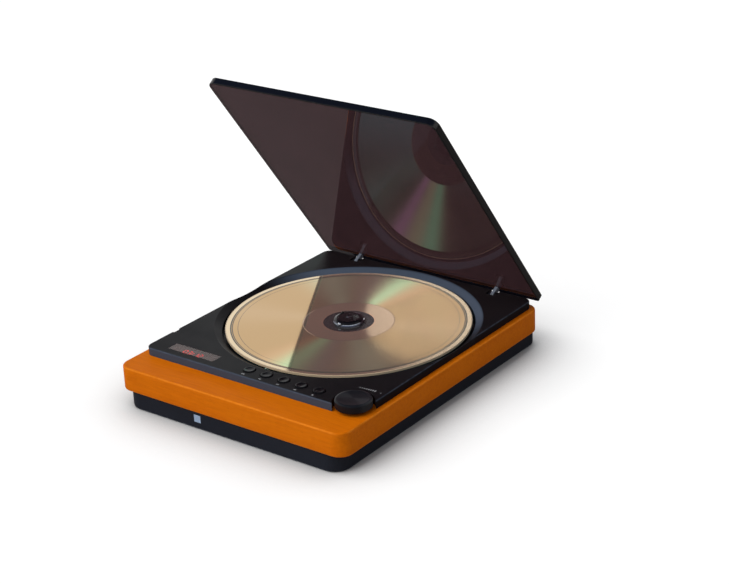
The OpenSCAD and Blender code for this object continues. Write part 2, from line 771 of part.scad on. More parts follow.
// A spur gear with involute teeth, centred, with one tooth on +X
module gear_shape(teeth) {
    pitch_r = tooth_module * teeth / 2;
    base_r = pitch_r * cos(pressure_angle);
    tip_r = pitch_r + gear_addendum;
    root_r = pitch_r - gear_dedendum;
    half_tooth = (tooth_pitch / 2 - backlash) / 2 / pitch_r * 180 / PI;
    flank_turn = half_tooth + tan(pressure_angle) * 180 / PI - pressure_angle;
    steps = 5;
    flank = [for (i = [0 : steps]) involute(base_r, unwound(base_r, tip_r) * i / steps)];
    upper = [for (p = flank) turned([p[0], -p[1]], flank_turn)];
    tooth = concat([turned([root_r - 0.5, 0], -flank_turn)], [turned([root_r, 0], -flank_turn)],
        [for (i = [0 : steps]) turned(flank[i], -flank_turn)],
        [for (i = [steps : -1 : 0]) upper[i]], [turned([root_r, 0], flank_turn)],
            [turned([root_r - 0.5, 0], flank_turn)]);
    circle(r = root_r);
    for (k = [0 : teeth - 1]) rotate(k * 360 / teeth) polygon(tooth);
}

module sled_pinion() {
    color([0.9, 0.88, 0.8])
    translate([pinion_x, pinion_y, 0]) {
        translate([0, 0, pinion_z]) linear_extrude(pinion_t) rotate(180) gear_shape(pinion_teeth);
        translate([0, 0, frame_top + 1 + gap])
            cylinder(r = pinion_shaft_r, h = pinion_z + 0.5 - frame_top - 1 - gap);
    }
}

// A straight rack tooth pointing along +X, with its pitch line at x = 0
module rack_tooth() {
    half = (tooth_pitch / 2 - backlash) / 2;
    slope = tan(pressure_angle);
    polygon([[-rack_dedendum - 0.3, -half - slope * rack_dedendum],
        [-rack_dedendum, -half - slope * rack_dedendum],
        [rack_addendum, -half + slope * rack_addendum], [rack_addendum, half - slope * rack_addendum],
        [-rack_dedendum, half + slope * rack_dedendum],
        [-rack_dedendum - 0.3, half + slope * rack_dedendum]]);
}

module pickup_sled() {
    color([0.16, 0.16, 0.18])
    difference() {
        union() {
            block(-sled_half_w, sled_half_w, sled_y - sled_half_l, sled_y + sled_half_l, sled_z, sled_top);
            for (x = [-rod_x, rod_x]) {
                translate([x, sled_y - sled_half_l, rod_z]) rotate([-90, 0, 0])
                    cylinder(r = bushing_r, h = 2 * sled_half_l);
                block(min(x, 0), max(x, 0), sled_y - sled_half_l + 1, sled_y + sled_half_l - 1,
                    rod_z - 1.9, rod_z + 1.9);
            }
            block(rod_x, rack_back_x + 1, sled_y - sled_half_l + 1, sled_y + sled_half_l - 1, rack_z,
                rack_z + rack_t);
            translate([0, 0, rack_z]) linear_extrude(rack_t) {
                translate([rack_back_x, sled_y - tooth_pitch * (rack_before + 0.5)])
                    square([pitch_x - rack_dedendum - rack_back_x,
                        tooth_pitch * (rack_before + rack_after + 1)]);
                for (k = [-rack_before : rack_after])
                    translate([pitch_x, pinion_y + (k + 0.5) * tooth_pitch]) rack_tooth();
            }
        }
        for (x = [-rod_x, rod_x])
            translate([x, sled_y - sled_half_l - cut, rod_z]) rotate([-90, 0, 0])
                cylinder(r = rod_r + run, h = 2 * sled_half_l + 2 * cut);
    }
}

module pickup_lens() {
    color([0.35, 0.45, 0.75])
    translate([0, sled_y, 0]) {
        translate([-5, -5, sled_top]) cube([10, 10, 1.2]);
        translate([0, 0, sled_top + 1]) cylinder(r = lens_r, h = lens_z - sled_top - 1.5);
        translate([0, 0, lens_z - 0.5]) cylinder(r = lens_r - 1, h = 0.5);
    }
}

module spindle_motor() {
    color([0.7, 0.7, 0.72])
    translate([0, disc_y, 0])
    difference() {
        union() {
            translate([0, 0, frame_top]) cylinder(r = spindle_motor_r, h = motor_top - frame_top);
            translate([0, 0, frame_top]) cylinder(r = spindle_motor_r + 1, h = 1);
        }
        translate([0, 0, frame_top + 1]) cylinder(r = spindle_shaft_r + run, h = motor_top - frame_top);
    }
}

module turntable() {
    color([0.12, 0.12, 0.12])
    translate([0, disc_y, 0]) {
        translate([0, 0, table_z]) cylinder(r = table_r, h = table_t);
        translate([0, 0, motor_top + gap]) cylinder(r = 4, h = table_z - motor_top - gap + 0.5);
        translate([0, 0, frame_top + 1 + gap])
            cylinder(r = spindle_shaft_r, h = table_z - frame_top - 1 - gap);
    }
}

module turntable_pad() {
    color([0.2, 0.2, 0.2])
    translate([0, disc_y, table_top])
    difference() {
        cylinder(r = table_r - 0.5, h = pad_t);
        translate([0, 0, -cut]) cylinder(r = hub_r + 1, h = pad_t + 2 * cut);
    }
}

module hub_ring() {
    color([0.85, 0.86, 0.88])
    translate([0, disc_y, 0])
    rotate_extrude() polygon([[0, hub_z], [hub_r, hub_z], [hub_r, ring_top - 0.4],
        [hub_r - 0.4, ring_top], [0, ring_top]]);
}

module hub_cap() {
    color([0.06, 0.06, 0.07])
    translate([0, disc_y, 0])
    difference() {
        rotate_extrude() polygon(concat([[0, ring_top]], [[cap_r, ring_top]],
            [for (a = [0 : 15 : 90]) [cap_r - 1.2 + 1.2 * cos(a), hub_top - 0.7 + 0.7 * sin(a)]],
            [[0, hub_top]]));
        translate([0, 0, hub_top - 0.4]) cylinder(r = 1.3, h = cut);
    }
}

module clamp_balls() {
    color([0.9, 0.9, 0.92])
    translate([0, disc_y, disc_z + 1.1 + ball_r * 0.2])
        for (a = [30, 150, 270]) rotate(a) translate([hub_r - 0.2, 0, 0]) intersection() {
            sphere(r = ball_r, $fn = 24);
            translate([0.2 + run, -2, -2]) cube([4, 4, 4]);
        }
}

module disc() {
    color([0.80, 0.70, 0.52])
    translate([0, disc_y, disc_under])
    difference() {
        cylinder(r = disc_r, h = disc_t, $fn = 180);
        translate([0, 0, -cut]) cylinder(r = disc_hole_r, h = disc_t + 2 * cut);
    }
}

module key_board() {
    color([0.05, 0.28, 0.14])
        block(button_mid_x - key_board_l / 2, button_mid_x + key_board_l / 2,
            controls_y - key_board_w / 2 + 0.5,
            controls_y + key_board_w / 2 + 0.5, key_board_z, key_board_top);
}

module key_switches() {
    color([0.3, 0.3, 0.32])
        for (x = button_places) {
            block(x - 2.2, x + 2.2, controls_y - 2.2, controls_y + 2.2, key_board_top,
                key_board_top + switch_body_h);
            post(x, controls_y, 1.2, key_board_top + 0.5, plunger_top);
        }
}

module push_button(i) {
    color([0.08, 0.08, 0.09])
    translate([button_places[i], controls_y, 0])
        rotate_extrude() polygon([[0, button_under], [1.6, button_under], [1.6, flange_top - flange_t],
            [flange_r, flange_top - flange_t], [flange_r, flange_top], [button_r, flange_top],
            [button_r, deck_z + button_proud - 0.3], [button_r - 0.3, deck_z + button_proud],
            [button_r - 1, deck_z + button_proud], [0, deck_z + button_proud - 0.2]]);
}

module button_1() { push_button(0); }
module button_2() { push_button(1); }
module button_3() { push_button(2); }
module button_4() { push_button(3); }
module button_5() { push_button(4); }

module volume_pot() {
    color([0.55, 0.55, 0.57])
    difference() {
        post(knob_x, controls_y, pot_r, board_top, pot_top);
        post(knob_x, controls_y, spigot_r + run, board_top + 0.6, pot_top + cut);
    }
}

module volume_shaft() {
    color([0.75, 0.75, 0.77]) {
        post(knob_x, controls_y, spigot_r, board_top + 0.6 + gap, pot_top + gap + 0.5);
        post(knob_x, controls_y, knob_shaft_r, pot_top + gap, shaft_top);
    }
}

module volume_knob() {
    color([0.10, 0.10, 0.11])
    difference() {
        translate([knob_x, controls_y, 0])
        rotate_extrude() polygon([[0, knob_z], [knob_r - 0.4, knob_z], [knob_r, knob_z + 0.4],
            [knob_r, knob_z + knob_h - 0.5], [knob_r - 0.5, knob_z + knob_h], [0, knob_z + knob_h]]);
        post(knob_x, controls_y, knob_shaft_r + run, knob_z - cut, shaft_top + 0.1);
    }
}

module hinge_brackets() {
    color([0.62, 0.63, 0.66])
        for (x = [-hinge_x, hinge_x])
            difference() {
                union() {
                    block(x - pocket_half_w + 0.5, x + pocket_half_w - 0.5, pocket_front,
                        pocket_back - 0.5, pocket_z, pocket_z + bracket_t);
                    for (s = [-1, 1]) {
                        inner = x + s * ear_in;
                        outer = x + s * (ear_in + ear_t);
                        block(min(inner, outer), max(inner, outer), hinge_y - ear_r, hinge_y + ear_r,
                            pocket_z + bracket_t - 0.2, hinge_z);
                        translate([min(inner, outer), hinge_y, hinge_z]) rotate([0, 90, 0])
                            cylinder(r = ear_r, h = ear_t);
                    }
                }
                translate([x - 5, hinge_y, hinge_z]) rotate([0, 90, 0])
                    cylinder(r = hinge_pin_r + run, h = 10);
            }
}

module hinge_pins() {
    color([0.8, 0.8, 0.82])
        for (x = [-hinge_x, hinge_x])
            translate([x - bracket_half_w, hinge_y, hinge_z]) rotate([0, 90, 0])
                cylinder(r = hinge_pin_r, h = 2 * bracket_half_w);
}

// Turns what is drawn with the lid shut to where the lid stands open
module opened() {
    translate([0, hinge_y, hinge_z]) rotate([-lid_open, 0, 0])
        translate([0, -hinge_y, -hinge_z]) children();
}

module lid_plate() {
    color([0.20, 0.12, 0.13])
        opened() soft_slab(lid_w, lid_front_y, lid_back_y, lid_corner_r, lid_back_corner_r, lid_z,
            lid_z + lid_t, lid_bevel, lid_bevel);
}

// A lug's side view: a round end on the pin, and a blade that narrows towards the lid
module lug_view() {
    translate([hinge_y, hinge_z]) circle(r = lug_r);
    polygon([[hinge_y - lug_r * cos(25), hinge_z + lug_r * sin(25)], [hinge_y - lug_tip_d / 2, lid_z],
        [hinge_y + lug_tip_d / 2, lid_z], [hinge_y + lug_r * cos(25), hinge_z + lug_r * sin(25)],
        [hinge_y, hinge_z]]);
}

module lid_lugs() {
    color([0.7, 0.74, 0.8])
        opened() for (x = [-hinge_x, hinge_x])
            difference() {
                translate([x - lug_w / 2, 0, 0]) rotate([90, 0, 90]) linear_extrude(lug_w) lug_view();
                translate([x - lug_w, hinge_y, hinge_z]) rotate([0, 90, 0])
                    cylinder(r = hinge_pin_r + run, h = 2 * lug_w);
            }
}

wood_frame();
plinth();
feet();
case_screws();
deck();
display_window();
display_module();
main_board();
board_parts();
board_screws();
ir_window();
ir_receiver();
power_inlet();
audio_jack();
power_switch();
power_slider();
drive_frame();
dampers();
drive_screws();
guide_rods();
sled_motor();
sled_pinion();
pickup_sled();
pickup_lens();
spindle_motor();
turntable();
turntable_pad();
hub_ring();
hub_cap();
clamp_balls();
disc();
key_board();
key_switches();
button_1();
button_2();
button_3();
button_4();
button_5();
volume_pot();
volume_shaft();
volume_knob();
hinge_brackets();
hinge_pins();
lid_plate();
lid_lugs();
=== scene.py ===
import math

import bmesh
import bpy
from bpy.props import FloatProperty, FloatVectorProperty, IntProperty, PointerProperty
from mathutils import Matrix, Vector


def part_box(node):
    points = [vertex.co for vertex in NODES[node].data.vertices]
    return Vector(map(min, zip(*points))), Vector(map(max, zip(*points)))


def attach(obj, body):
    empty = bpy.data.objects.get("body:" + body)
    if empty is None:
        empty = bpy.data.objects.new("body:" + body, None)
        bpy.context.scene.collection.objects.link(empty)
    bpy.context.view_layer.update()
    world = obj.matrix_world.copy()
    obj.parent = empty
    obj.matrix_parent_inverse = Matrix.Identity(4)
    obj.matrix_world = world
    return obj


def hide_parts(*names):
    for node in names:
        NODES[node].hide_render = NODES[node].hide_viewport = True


bl_info = {
    "name": "Disc Player Finish",
    "version": (1, 0, 0),
    "blender": (4, 5, 0),
    "location": "3D View > Sidebar > Disc Player",
    "description": "Dresses the disc player's frame with its details and materials",
    "category": "Object",
}

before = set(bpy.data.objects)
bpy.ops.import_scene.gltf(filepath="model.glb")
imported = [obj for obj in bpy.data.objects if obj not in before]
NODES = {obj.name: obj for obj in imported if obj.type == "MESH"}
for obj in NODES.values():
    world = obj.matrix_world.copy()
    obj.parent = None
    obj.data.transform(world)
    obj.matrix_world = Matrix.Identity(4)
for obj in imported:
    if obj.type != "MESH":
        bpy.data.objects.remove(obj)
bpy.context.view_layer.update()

MM = 0.001
WOOD_LOW, WOOD_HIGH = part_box("wood_frame")
PLINTH_LOW, PLINTH_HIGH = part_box("plinth")
DECK_LOW, DECK_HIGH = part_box("deck")
DISC_LOW, DISC_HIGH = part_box("disc")
KNOB_LOW, KNOB_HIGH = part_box("volume_knob")
RING_LOW, RING_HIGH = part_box("hub_ring")
CAP_LOW, CAP_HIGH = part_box("hub_cap")
WINDOW_LOW, WINDOW_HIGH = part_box("display_window")
DISC_MIDDLE = (DISC_LOW + DISC_HIGH) / 2
KNOB_MIDDLE = (KNOB_LOW + KNOB_HIGH) / 2
DECK_TOP = DECK_HIGH.z
DISC_RADIUS = (DISC_HIGH.x - DISC_LOW.x) / 2
LID_OPEN = math.radians(53.3)
HINGE = (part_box("hinge_pins")[0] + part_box("hinge_pins")[1]) / 2


def shut_box():
    """The lid's box when it is shut."""
    turn = Matrix.Translation(HINGE) @ Matrix.Rotation(LID_OPEN, 4, "X") @ Matrix.Translation(-HINGE)
    points = [turn @ vert.co for vert in NODES["lid_plate"].data.vertices]
    return (Vector([min(p[i] for p in points) for i in range(3)]),
            Vector([max(p[i] for p in points) for i in range(3)]))


LID_LOW, LID_HIGH = shut_box()


# ---------------------------------------------------------------- sizes and colours


class PlayerSizes(bpy.types.PropertyGroup):
    """Sizes of the details that the frame doesn't hold."""

    knurls: IntProperty(
        name="Knurls", description="Ridges round the volume knob",
        default=96, min=24, max=160)
    knurl_depth: FloatProperty(
        name="Knurl depth", description="Depth of the ridges round the volume knob",
        default=0.12 * MM, unit="LENGTH")
    disc_hole: FloatProperty(
        name="Disc hole", description="Radius of the disc's centre hole",
        default=7.5 * MM, unit="LENGTH")
    disc_clear: FloatProperty(
        name="Clear hub", description="Radius of the clear plastic round the disc's hole",
        default=12.4 * MM, unit="LENGTH")
    disc_data: FloatProperty(
        name="Start of the tracks", description="Radius at which the disc's tracks start",
        default=22.3 * MM, unit="LENGTH")
    mark_height: FloatProperty(
        name="Mark height", description="Thickness of the printed marks",
        default=0.02 * MM, unit="LENGTH")
    digit_height: FloatProperty(
        name="Digit height", description="Height of the display's digits",
        default=3.0 * MM, unit="LENGTH")


def colour(label, text, value):
    """A colour property that starts at a linear RGB value."""
    return FloatVectorProperty(
        name=label, description=text, subtype="COLOR", size=4, min=0, max=1, default=(*value, 1))


class PlayerColours(bpy.types.PropertyGroup):
    """Colours of the player's finishes, as linear values."""

    wood: colour("Wood", "Orange lacquer on the wood frame", (0.640, 0.148, 0.0018))
    wood_dark: colour("Wood grain", "Darker streaks of the wood", (0.450, 0.088, 0.0012))
    deck: colour("Deck", "Black plastic of the deck", (0.0075, 0.0068, 0.0082))
    plinth: colour("Plinth", "Black plastic of the plinth", (0.0150, 0.0170, 0.0245))
    lid: colour("Lid", "Smoke tint of the lid", (0.190, 0.102, 0.116))
    disc: colour("Disc", "Champagne mirror of the disc", (0.510, 0.315, 0.127))
    steel: colour("Steel", "Bare metal pieces", (0.560, 0.570, 0.590))
    print_white: colour("Print", "Pale print of the marks", (0.420, 0.430, 0.450))
    display: colour("Digits", "Red glow of the display", (0.600, 0.012, 0.010))


# ---------------------------------------------------------------- node helpers


def feed(tree, socket, value):
    """Links a socket into an input, or sets the input's own value."""
    if isinstance(value, bpy.types.NodeSocket):
        tree.links.new(value, socket)
    elif value is not None:
        socket.default_value = value


def node(tree, kind, *args, **named):
    """Adds a node: args go to its inputs in order, named values to its settings or to inputs of that name."""
    made = tree.nodes.new(kind)
    for key, value in named.items():
        if hasattr(made, key):
            setattr(made, key, value)
        else:
            feed(tree, made.inputs[key.replace("_", " ")], value)
    for index, value in enumerate(args):
        feed(tree, made.inputs[index], value)
    return made


def math_node(tree, operation, *args, clamp=False):
    """The result of a Math node."""
    return node(tree, "ShaderNodeMath", *args, operation=operation, use_clamp=clamp).outputs[0]


def mix(tree, factor, first, second, blend="MIX"):
    """A colour between the first, at factor 0, and the second, at 1."""
    made = node(tree, "ShaderNodeMix", data_type="RGBA", blend_type=blend)
    feed(tree, made.inputs[0], factor)
    feed(tree, made.inputs[6], first)
    feed(tree, made.inputs[7], second)
    return made.outputs[2]


def spread(tree, value, low, high, to_low=0.0, to_high=1.0, smooth=False):
    """Maps low to high onto to_low to to_high, held at both ends."""
    made = node(tree, "ShaderNodeMapRange", interpolation_type="SMOOTHSTEP" if smooth else "LINEAR")
    for index, item in enumerate((value, low, high, to_low, to_high)):
        feed(tree, made.inputs[index], item)
    return made.outputs[0]


def noise(tree, position, scale, detail=2.0, stretch=None):
    """Noise round 0.5, with its own scale along each axis where stretch is given."""
    if stretch:
        position = node(tree, "ShaderNodeVectorMath", position, stretch, operation="MULTIPLY").outputs[0]
    return node(tree, "ShaderNodeTexNoise", Vector=position, Scale=scale, Detail=detail).outputs[0]


def minus(tree, first, second):
    """The first vector less the second."""
    return node(tree, "ShaderNodeVectorMath", first, second, operation="SUBTRACT").outputs[0]


def radius_of(tree, position):
    """Distance from the Z axis."""
    flat = node(tree, "ShaderNodeVectorMath", position, (1, 1, 0), operation="MULTIPLY").outputs[0]
    return node(tree, "ShaderNodeVectorMath", flat, operation="LENGTH").outputs["Value"]


def new_group(name, inputs, outputs):
    """A shader node group with the named sockets, and its input and output nodes."""
    tree = bpy.data.node_groups.new(name, "ShaderNodeTree")
    for socket, kind, default in inputs:
        made = tree.interface.new_socket(socket, in_out="INPUT", socket_type=kind)
        if default is not None:
            made.default_value = default
    for socket, kind in outputs:
        tree.interface.new_socket(socket, in_out="OUTPUT", socket_type=kind)
    return tree, tree.nodes.new("NodeGroupInput"), tree.nodes.new("NodeGroupOutput")


def painted_edge_highlight_group():
    """A mask that is 1 along the outer edges of a box-shaped piece, broken up by noise: where a highlight is
    painted.
    """
    tree, given, out = new_group(
        "Painted edge highlight",
        [("Position", "NodeSocketVector", None), ("Centre", "NodeSocketVector", None),
         ("Half Size", "NodeSocketVector", None), ("Width", "NodeSocketFloat", 0.8 * MM),
         ("Breakup", "NodeSocketFloat", 400.0)],
        [("Mask", "NodeSocketFloat")])
    offset = minus(tree, given.outputs["Position"], given.outputs["Centre"])
    size = node(tree, "ShaderNodeVectorMath", offset, operation="ABSOLUTE").outputs[0]
    inside = minus(tree, given.outputs["Half Size"], size)
    x, y, z = node(tree, "ShaderNodeSeparateXYZ", inside).outputs
    low, high = math_node(tree, "MINIMUM", x, y), math_node(tree, "MAXIMUM", x, y)
    middle = math_node(tree, "MAXIMUM", low, math_node(tree, "MINIMUM", high, z))
    near = spread(tree, middle, 0.0, given.outputs["Width"], 1.0, 0.0, smooth=True)
    patchy = noise(tree, given.outputs["Position"], given.outputs["Breakup"], 3.0)
    broken = spread(tree, patchy, 0.3, 0.6, 0.35, 1.0)
    feed(tree, out.inputs[0], math_node(tree, "MULTIPLY", near, broken))
    return tree


def mottle_group():
    """Cloudy variation from two sizes of noise, round 0.5."""
    tree, given, out = new_group(
        "Mottle",
        [("Position", "NodeSocketVector", None), ("Coarse", "NodeSocketFloat", 40.0),
         ("Fine", "NodeSocketFloat", 900.0)],
        [("Value", "NodeSocketFloat")])
    coarse = noise(tree, given.outputs["Position"], given.outputs["Coarse"], 3.0)
    fine = noise(tree, given.outputs["Position"], given.outputs["Fine"], 2.0)
    both = math_node(tree, "MULTIPLY_ADD", fine, 0.4, math_node(tree, "MULTIPLY", coarse, 0.6))
    feed(tree, out.inputs[0], both)
    return tree


def moulded_group():
    """The fine spark-eroded texture of moulded plastic: a height and a roughness that wanders."""
    tree, given, out = new_group(
        "Moulded plastic",
        [("Position", "NodeSocketVector", None), ("Grain", "NodeSocketFloat", 3500.0),
         ("Roughness", "NodeSocketFloat", 0.4)],
        [("Height", "NodeSocketFloat"), ("Roughness", "NodeSocketFloat")])
    grain = noise(tree, given.outputs["Position"], given.outputs["Grain"], 1.0)
    smear = noise(tree, given.outputs["Position"], 55.0, 3.0)
    feed(tree, out.inputs[0], grain)
    feed(tree, out.inputs[1], math_node(
        tree, "ADD", given.outputs["Roughness"], spread(tree, smear, 0.3, 0.7, -0.05, 0.07)))
    return tree


def turned_group():
    """Fine rings round a vertical axis, as left by a lathe or a spinning polish."""
    tree, given, out = new_group(
        "Turned rings",
        [("Position", "NodeSocketVector", None), ("Centre", "NodeSocketVector", None),
         ("Rings", "NodeSocketFloat", 4000.0)],
        [("Height", "NodeSocketFloat"), ("Mask", "NodeSocketFloat")])
    offset = minus(tree, given.outputs["Position"], given.outputs["Centre"])
    outward = math_node(tree, "MULTIPLY", radius_of(tree, offset), given.outputs["Rings"])
    rings = noise(tree, node(tree, "ShaderNodeCombineXYZ", outward, 0.0, 0.0).outputs[0], 1.0, 2.0)
    feed(tree, out.inputs[0], rings)
    feed(tree, out.inputs[1], spread(tree, rings, 0.35, 0.65, 0.0, 1.0))
    return tree


GROUPS = {}


def group(tree, name, **named):
    """Places a shared group, made on its first use, with its own values, and gives its outputs."""
    makers = {"Painted edge highlight": painted_edge_highlight_group, "Mottle": mottle_group, "Moulded plastic": moulded_group,
              "Turned rings": turned_group}
    if name not in GROUPS:
        GROUPS[name] = makers[name]()
    return node(tree, "ShaderNodeGroup", node_tree=GROUPS[name], **named).outputs


def new_material(name):
    """An empty material, its Principled shader and the Object coordinates."""
    made = bpy.data.materials.new(name)
    made.use_nodes = True
    tree = made.node_tree
    shader = tree.nodes["Principled BSDF"]
    return made, tree, shader, node(tree, "ShaderNodeTexCoord").outputs["Object"]


def bump(tree, shader, height, strength, distance):
    feed(tree, shader.inputs["Normal"], node(
        tree, "ShaderNodeBump", Strength=strength, Distance=distance, Height=height).outputs[0])


def settle(shader, **values):
    """Sets plain values on the shader's own sockets."""
    for key, value in values.items():
        shader.inputs[key.replace("_", " ")].default_value = value


# ---------------------------------------------------------------- materials


def wood_material(colours):
    made, tree, shader, at = new_material("Orange lacquered wood")
    centre, half = (WOOD_LOW + WOOD_HIGH) / 2, (WOOD_HIGH - WOOD_LOW) / 2
    cloud = group(tree, "Mottle", Position=at, Coarse=28.0, Fine=420.0)["Value"]
    wander = noise(tree, at, 22.0, 2.0)
    shifted = node(tree, "ShaderNodeVectorMath", at, node(
        tree, "ShaderNodeCombineXYZ", 0.0, math_node(tree, "MULTIPLY", wander, 0.006), 0.0).outputs[0],
        operation="ADD").outputs[0]
    grain = noise(tree, shifted, 1.0, 5.0, (70.0, 900.0, 900.0))
    pores = spread(tree, noise(tree, at, 1.0, 2.0, (500.0, 3400.0, 3400.0)), 0.66, 0.74)
    edge = group(tree, "Painted edge highlight", Position=at, Centre=centre, Half_Size=half, Width=1.1 * MM)["Mask"]
    z = node(tree, "ShaderNodeSeparateXYZ", at).outputs[2]
    # Darker towards the bottom: painted shade.
    low = spread(tree, z, WOOD_LOW.z, WOOD_LOW.z + 5 * MM, 0.30, 0.0, smooth=True)
    streaks = spread(tree, grain, 0.38, 0.72, 0.0, 0.42)
    base = mix(tree, streaks, tuple(colours.wood), tuple(colours.wood_dark))
    base = mix(tree, spread(tree, cloud, 0.40, 0.64, 0.0, 0.30), base, (0.68, 0.180, 0.004, 1))
    base = mix(tree, math_node(tree, "MULTIPLY", pores, 0.28), base, (0.16, 0.035, 0.004, 1))
    base = mix(tree, low, base, tuple(colours.wood_dark))
    # Lighter along the edges: a painted highlight.
    base = mix(tree, math_node(tree, "MULTIPLY", edge, 0.45), base, (0.88, 0.30, 0.035, 1))
    feed(tree, shader.inputs["Base Color"], base)
    feed(tree, shader.inputs["Roughness"], spread(tree, cloud, 0.35, 0.65, 0.42, 0.54))
    settle(shader, Specular_IOR_Level=0.03)
    height = math_node(tree, "SUBTRACT", grain, math_node(tree, "MULTIPLY", pores, 0.6))
    bump(tree, shader, height, 0.35, 0.02 * MM)
    return made


def plastic_material(name, tint, rough, grain, specular, box=None, edge=0.0, strength=0.3, sides=None):
    made, tree, shader, at = new_material(name)
    skin = group(tree, "Moulded plastic", Position=at, Grain=grain, Roughness=rough)
    cloud = group(tree, "Mottle", Position=at, Coarse=30.0, Fine=1200.0)["Value"]
    darker = tuple(0.78 * v for v in tint[:3]) + (1,)
    base = mix(tree, spread(tree, cloud, 0.35, 0.65), darker, tuple(tint))
    if box:
        low, high = box
        # Painted highlight: the base turns lighter and bluish along the box's edges, by the amount edge.
        edge_highlight = group(tree, "Painted edge highlight", Position=at, Centre=(low + high) / 2, Half_Size=(high - low) / 2,
                     Width=0.7 * MM)["Mask"]
        base = mix(tree, math_node(tree, "MULTIPLY", edge_highlight, edge), base, (0.10, 0.12, 0.17, 1))
    if sides:
        # Painted sheen: the base turns lighter blue where the sides mask is high.
        base = mix(tree, sides(tree, at), base, (0.090, 0.116, 0.165, 1))
    feed(tree, shader.inputs["Base Color"], base)
    feed(tree, shader.inputs["Roughness"], skin["Roughness"])
    settle(shader, Specular_IOR_Level=specular)
    bump(tree, shader, skin["Height"], strength, 0.02 * MM)
    return made


def deck_painted_sheen(tree, at):
    """A painted bluish sheen on the deck's front wall and on the well's flared rim."""
    _, y, z = node(tree, "ShaderNodeSeparateXYZ", at).outputs
    front = spread(tree, y, DECK_LOW.y + 0.2 * MM, DECK_LOW.y + 1.0 * MM, 0.55, 0.0, smooth=True)
    around = radius_of(tree, minus(tree, at, (DISC_MIDDLE.x, DISC_MIDDLE.y, 0)))
    flare = math_node(tree, "MULTIPLY", spread(tree, around, DISC_RADIUS + 1.3 * MM, DISC_RADIUS + 1.6 * MM),
                      spread(tree, around, DISC_RADIUS + 5.0 * MM, DISC_RADIUS + 5.5 * MM, 1.0, 0.0))
    behind = spread(tree, y, DISC_MIDDLE.y + 8 * MM, DISC_MIDDLE.y + 46 * MM, 0.0, 1.0, smooth=True)
    top = spread(tree, z, DECK_TOP - 0.5 * MM, DECK_TOP, 1.0, 0.55)
    return math_node(tree, "MULTIPLY", top, math_node(
        tree, "MAXIMUM", front, math_node(tree, "MULTIPLY", flare, behind)))


def metal_material(name, tint, rough, centre=None):
    """Metal, brushed along X or turned round the centre where one is given."""
    made, tree, shader, at = new_material(name)
    if centre:
        lines = group(tree, "Turned rings", Position=at, Centre=centre, Rings=5200.0)["Height"]
    else:
        lines = noise(tree, at, 1.0, 3.0, (300.0, 6000.0, 6000.0))
    cloud = group(tree, "Mottle", Position=at, Coarse=60.0, Fine=1500.0)["Value"]
    dull = tuple(0.7 * v for v in tint[:3]) + (1,)
    feed(tree, shader.inputs["Base Color"], mix(tree, spread(tree, cloud, 0.3, 0.6), dull, tuple(tint)))
    feed(tree, shader.inputs["Roughness"], spread(tree, lines, 0.3, 0.7, rough * 0.8, rough * 1.25))
    settle(shader, Metallic=1.0)
    bump(tree, shader, lines, 0.15, 0.01 * MM)
    return made


# Painted highlights of the disc's rainbow streaks: each streak's turn from +X in degrees, sharpness, amount
# and colour.
PAINTED_DISC_STREAKS = (
    (96.0, 60, 0.80, (0.50, 0.72, 0.42, 1)),
    (137.0, 40, 0.55, (0.56, 0.66, 0.46, 1)),
    (84.0, 110, 0.30, (0.74, 0.36, 0.20, 1)),
    (112.0, 90, 0.25, (0.40, 0.38, 0.42, 1)),
    (20.0, 30, 0.20, (0.66, 0.50, 0.34, 1)),
)
# Streaks of the painted reflection, seen only in glossy rays: each streak's turn from +X in degrees,
# sharpness, amount and colour.
PAINTED_REFLECTION_STREAKS = (
    (102.0, 30, 0.75, (0.95, 0.80, 0.52, 1)),
    (92.0, 170, 0.80, (0.42, 0.95, 0.58, 1)),
    (114.0, 220, 0.80, (0.80, 0.34, 0.66, 1)),
    (140.0, 30, 0.35, (0.25, 0.52, 0.40, 1)),
)


